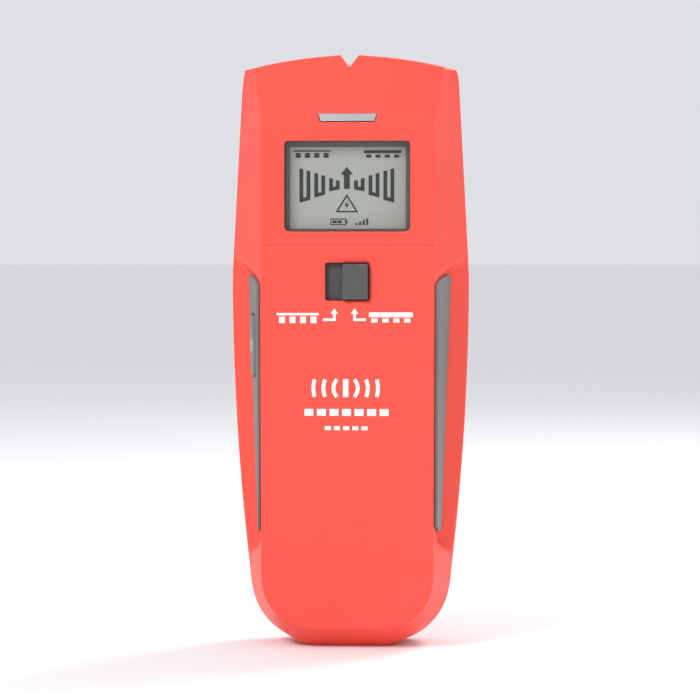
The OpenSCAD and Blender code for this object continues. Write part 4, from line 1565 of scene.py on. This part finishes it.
@dataclass
class Studio:
    """Pale floor, soft lights and the camera."""

    azimuth: float = 3.5
    elevation: float = 2.0
    lens: float = 168.0
    share: float = 0.84
    sky: float = 0.78

    def build(self) -> None:
        """Make the stage."""
        self.floor()
        self.lights()
        self.camera()
        bpy.context.scene.view_settings.view_transform = "Standard"

    def floor(self) -> None:
        """Pale seamless floor."""
        bm = bmesh.new()
        bmesh.ops.create_grid(bm, x_segments=2, y_segments=2, size=12)
        mesh = bpy.data.meshes.new("floor")
        bm.to_mesh(mesh)
        bm.free()
        floor = bpy.data.objects.new("floor", mesh)
        bpy.context.scene.collection.objects.link(floor)
        shader = Shader("pale_floor")
        shader.bsdf.inputs["Base Color"].default_value = (0.90, 0.90, 0.895, 1)
        shader.set(Roughness=0.75, Specular_IOR_Level=0.2)
        mesh.materials.append(shader.material)

    def lights(self) -> None:
        """Soft key, fill and rim lights with a pale world."""
        world = bpy.data.worlds.new("studio")
        bpy.context.scene.world = world
        world.use_nodes = True
        world.node_tree.nodes["Background"].inputs[0].default_value = (0.95, 0.96, 1.0, 1)
        world.node_tree.nodes["Background"].inputs[1].default_value = self.sky
        aim = (CAD_LOW + CAD_HIGH) / 2
        for name, place, size, watts in (
                ("key", (-0.50, -0.65, 0.75), 0.35, 5.0),
                ("fill", (0.70, -0.65, 0.30), 0.6, 1.0),
                ("rim", (0.45, 0.60, 0.75), 0.35, 5.0)):
            data = bpy.data.lights.new(name, "AREA")
            data.size = size
            data.energy = watts
            lamp = bpy.data.objects.new(name, data)
            lamp.location = place
            lamp.rotation_euler = (aim - Vector(place)).to_track_quat("-Z", "Y").to_euler()
            bpy.context.scene.collection.objects.link(lamp)

    def camera(self) -> None:
        """Long-lens camera almost square to the front panel."""
        data = bpy.data.cameras.new("camera")
        data.lens = self.lens
        data.sensor_width = 36.0
        aim = (CAD_LOW + CAD_HIGH) / 2
        field_of_view = 2 * math.atan(data.sensor_width / 2 / self.lens)
        distance = (CAD_HIGH.z - CAD_LOW.z) / self.share / 2 / math.tan(field_of_view / 2)
        a, e = math.radians(self.azimuth), math.radians(self.elevation)
        away = Vector((math.sin(a) * math.cos(e), -math.cos(a) * math.cos(e), math.sin(e)))
        camera = bpy.data.objects.new("camera", data)
        camera.location = aim + away * distance
        camera.rotation_euler = (-away).to_track_quat("-Z", "Y").to_euler()
        bpy.context.scene.collection.objects.link(camera)
        bpy.context.scene.camera = camera


def main() -> None:
    """Build every piece in order."""
    palette = Palette()
    outline = Outline()
    front = FrontCasing(outline, palette)
    front.build()
    RearCasing(outline, palette).build()
    BatteryDoor(palette).build()
    Battery(palette).build()
    RearLabel(palette).build()
    Screws(palette).build()
    Display(palette).build()
    Indicator(palette).build()
    ModeKnob(palette).build()
    Grip(palette, front, Side.LEFT).build()
    Grip(palette, front, Side.RIGHT).build()
    PowerButton(palette, front).build()
    PanelPrint(palette).build()
    Works(palette).dress()
    Studio().build()


if __name__ == "__main__":
    main()
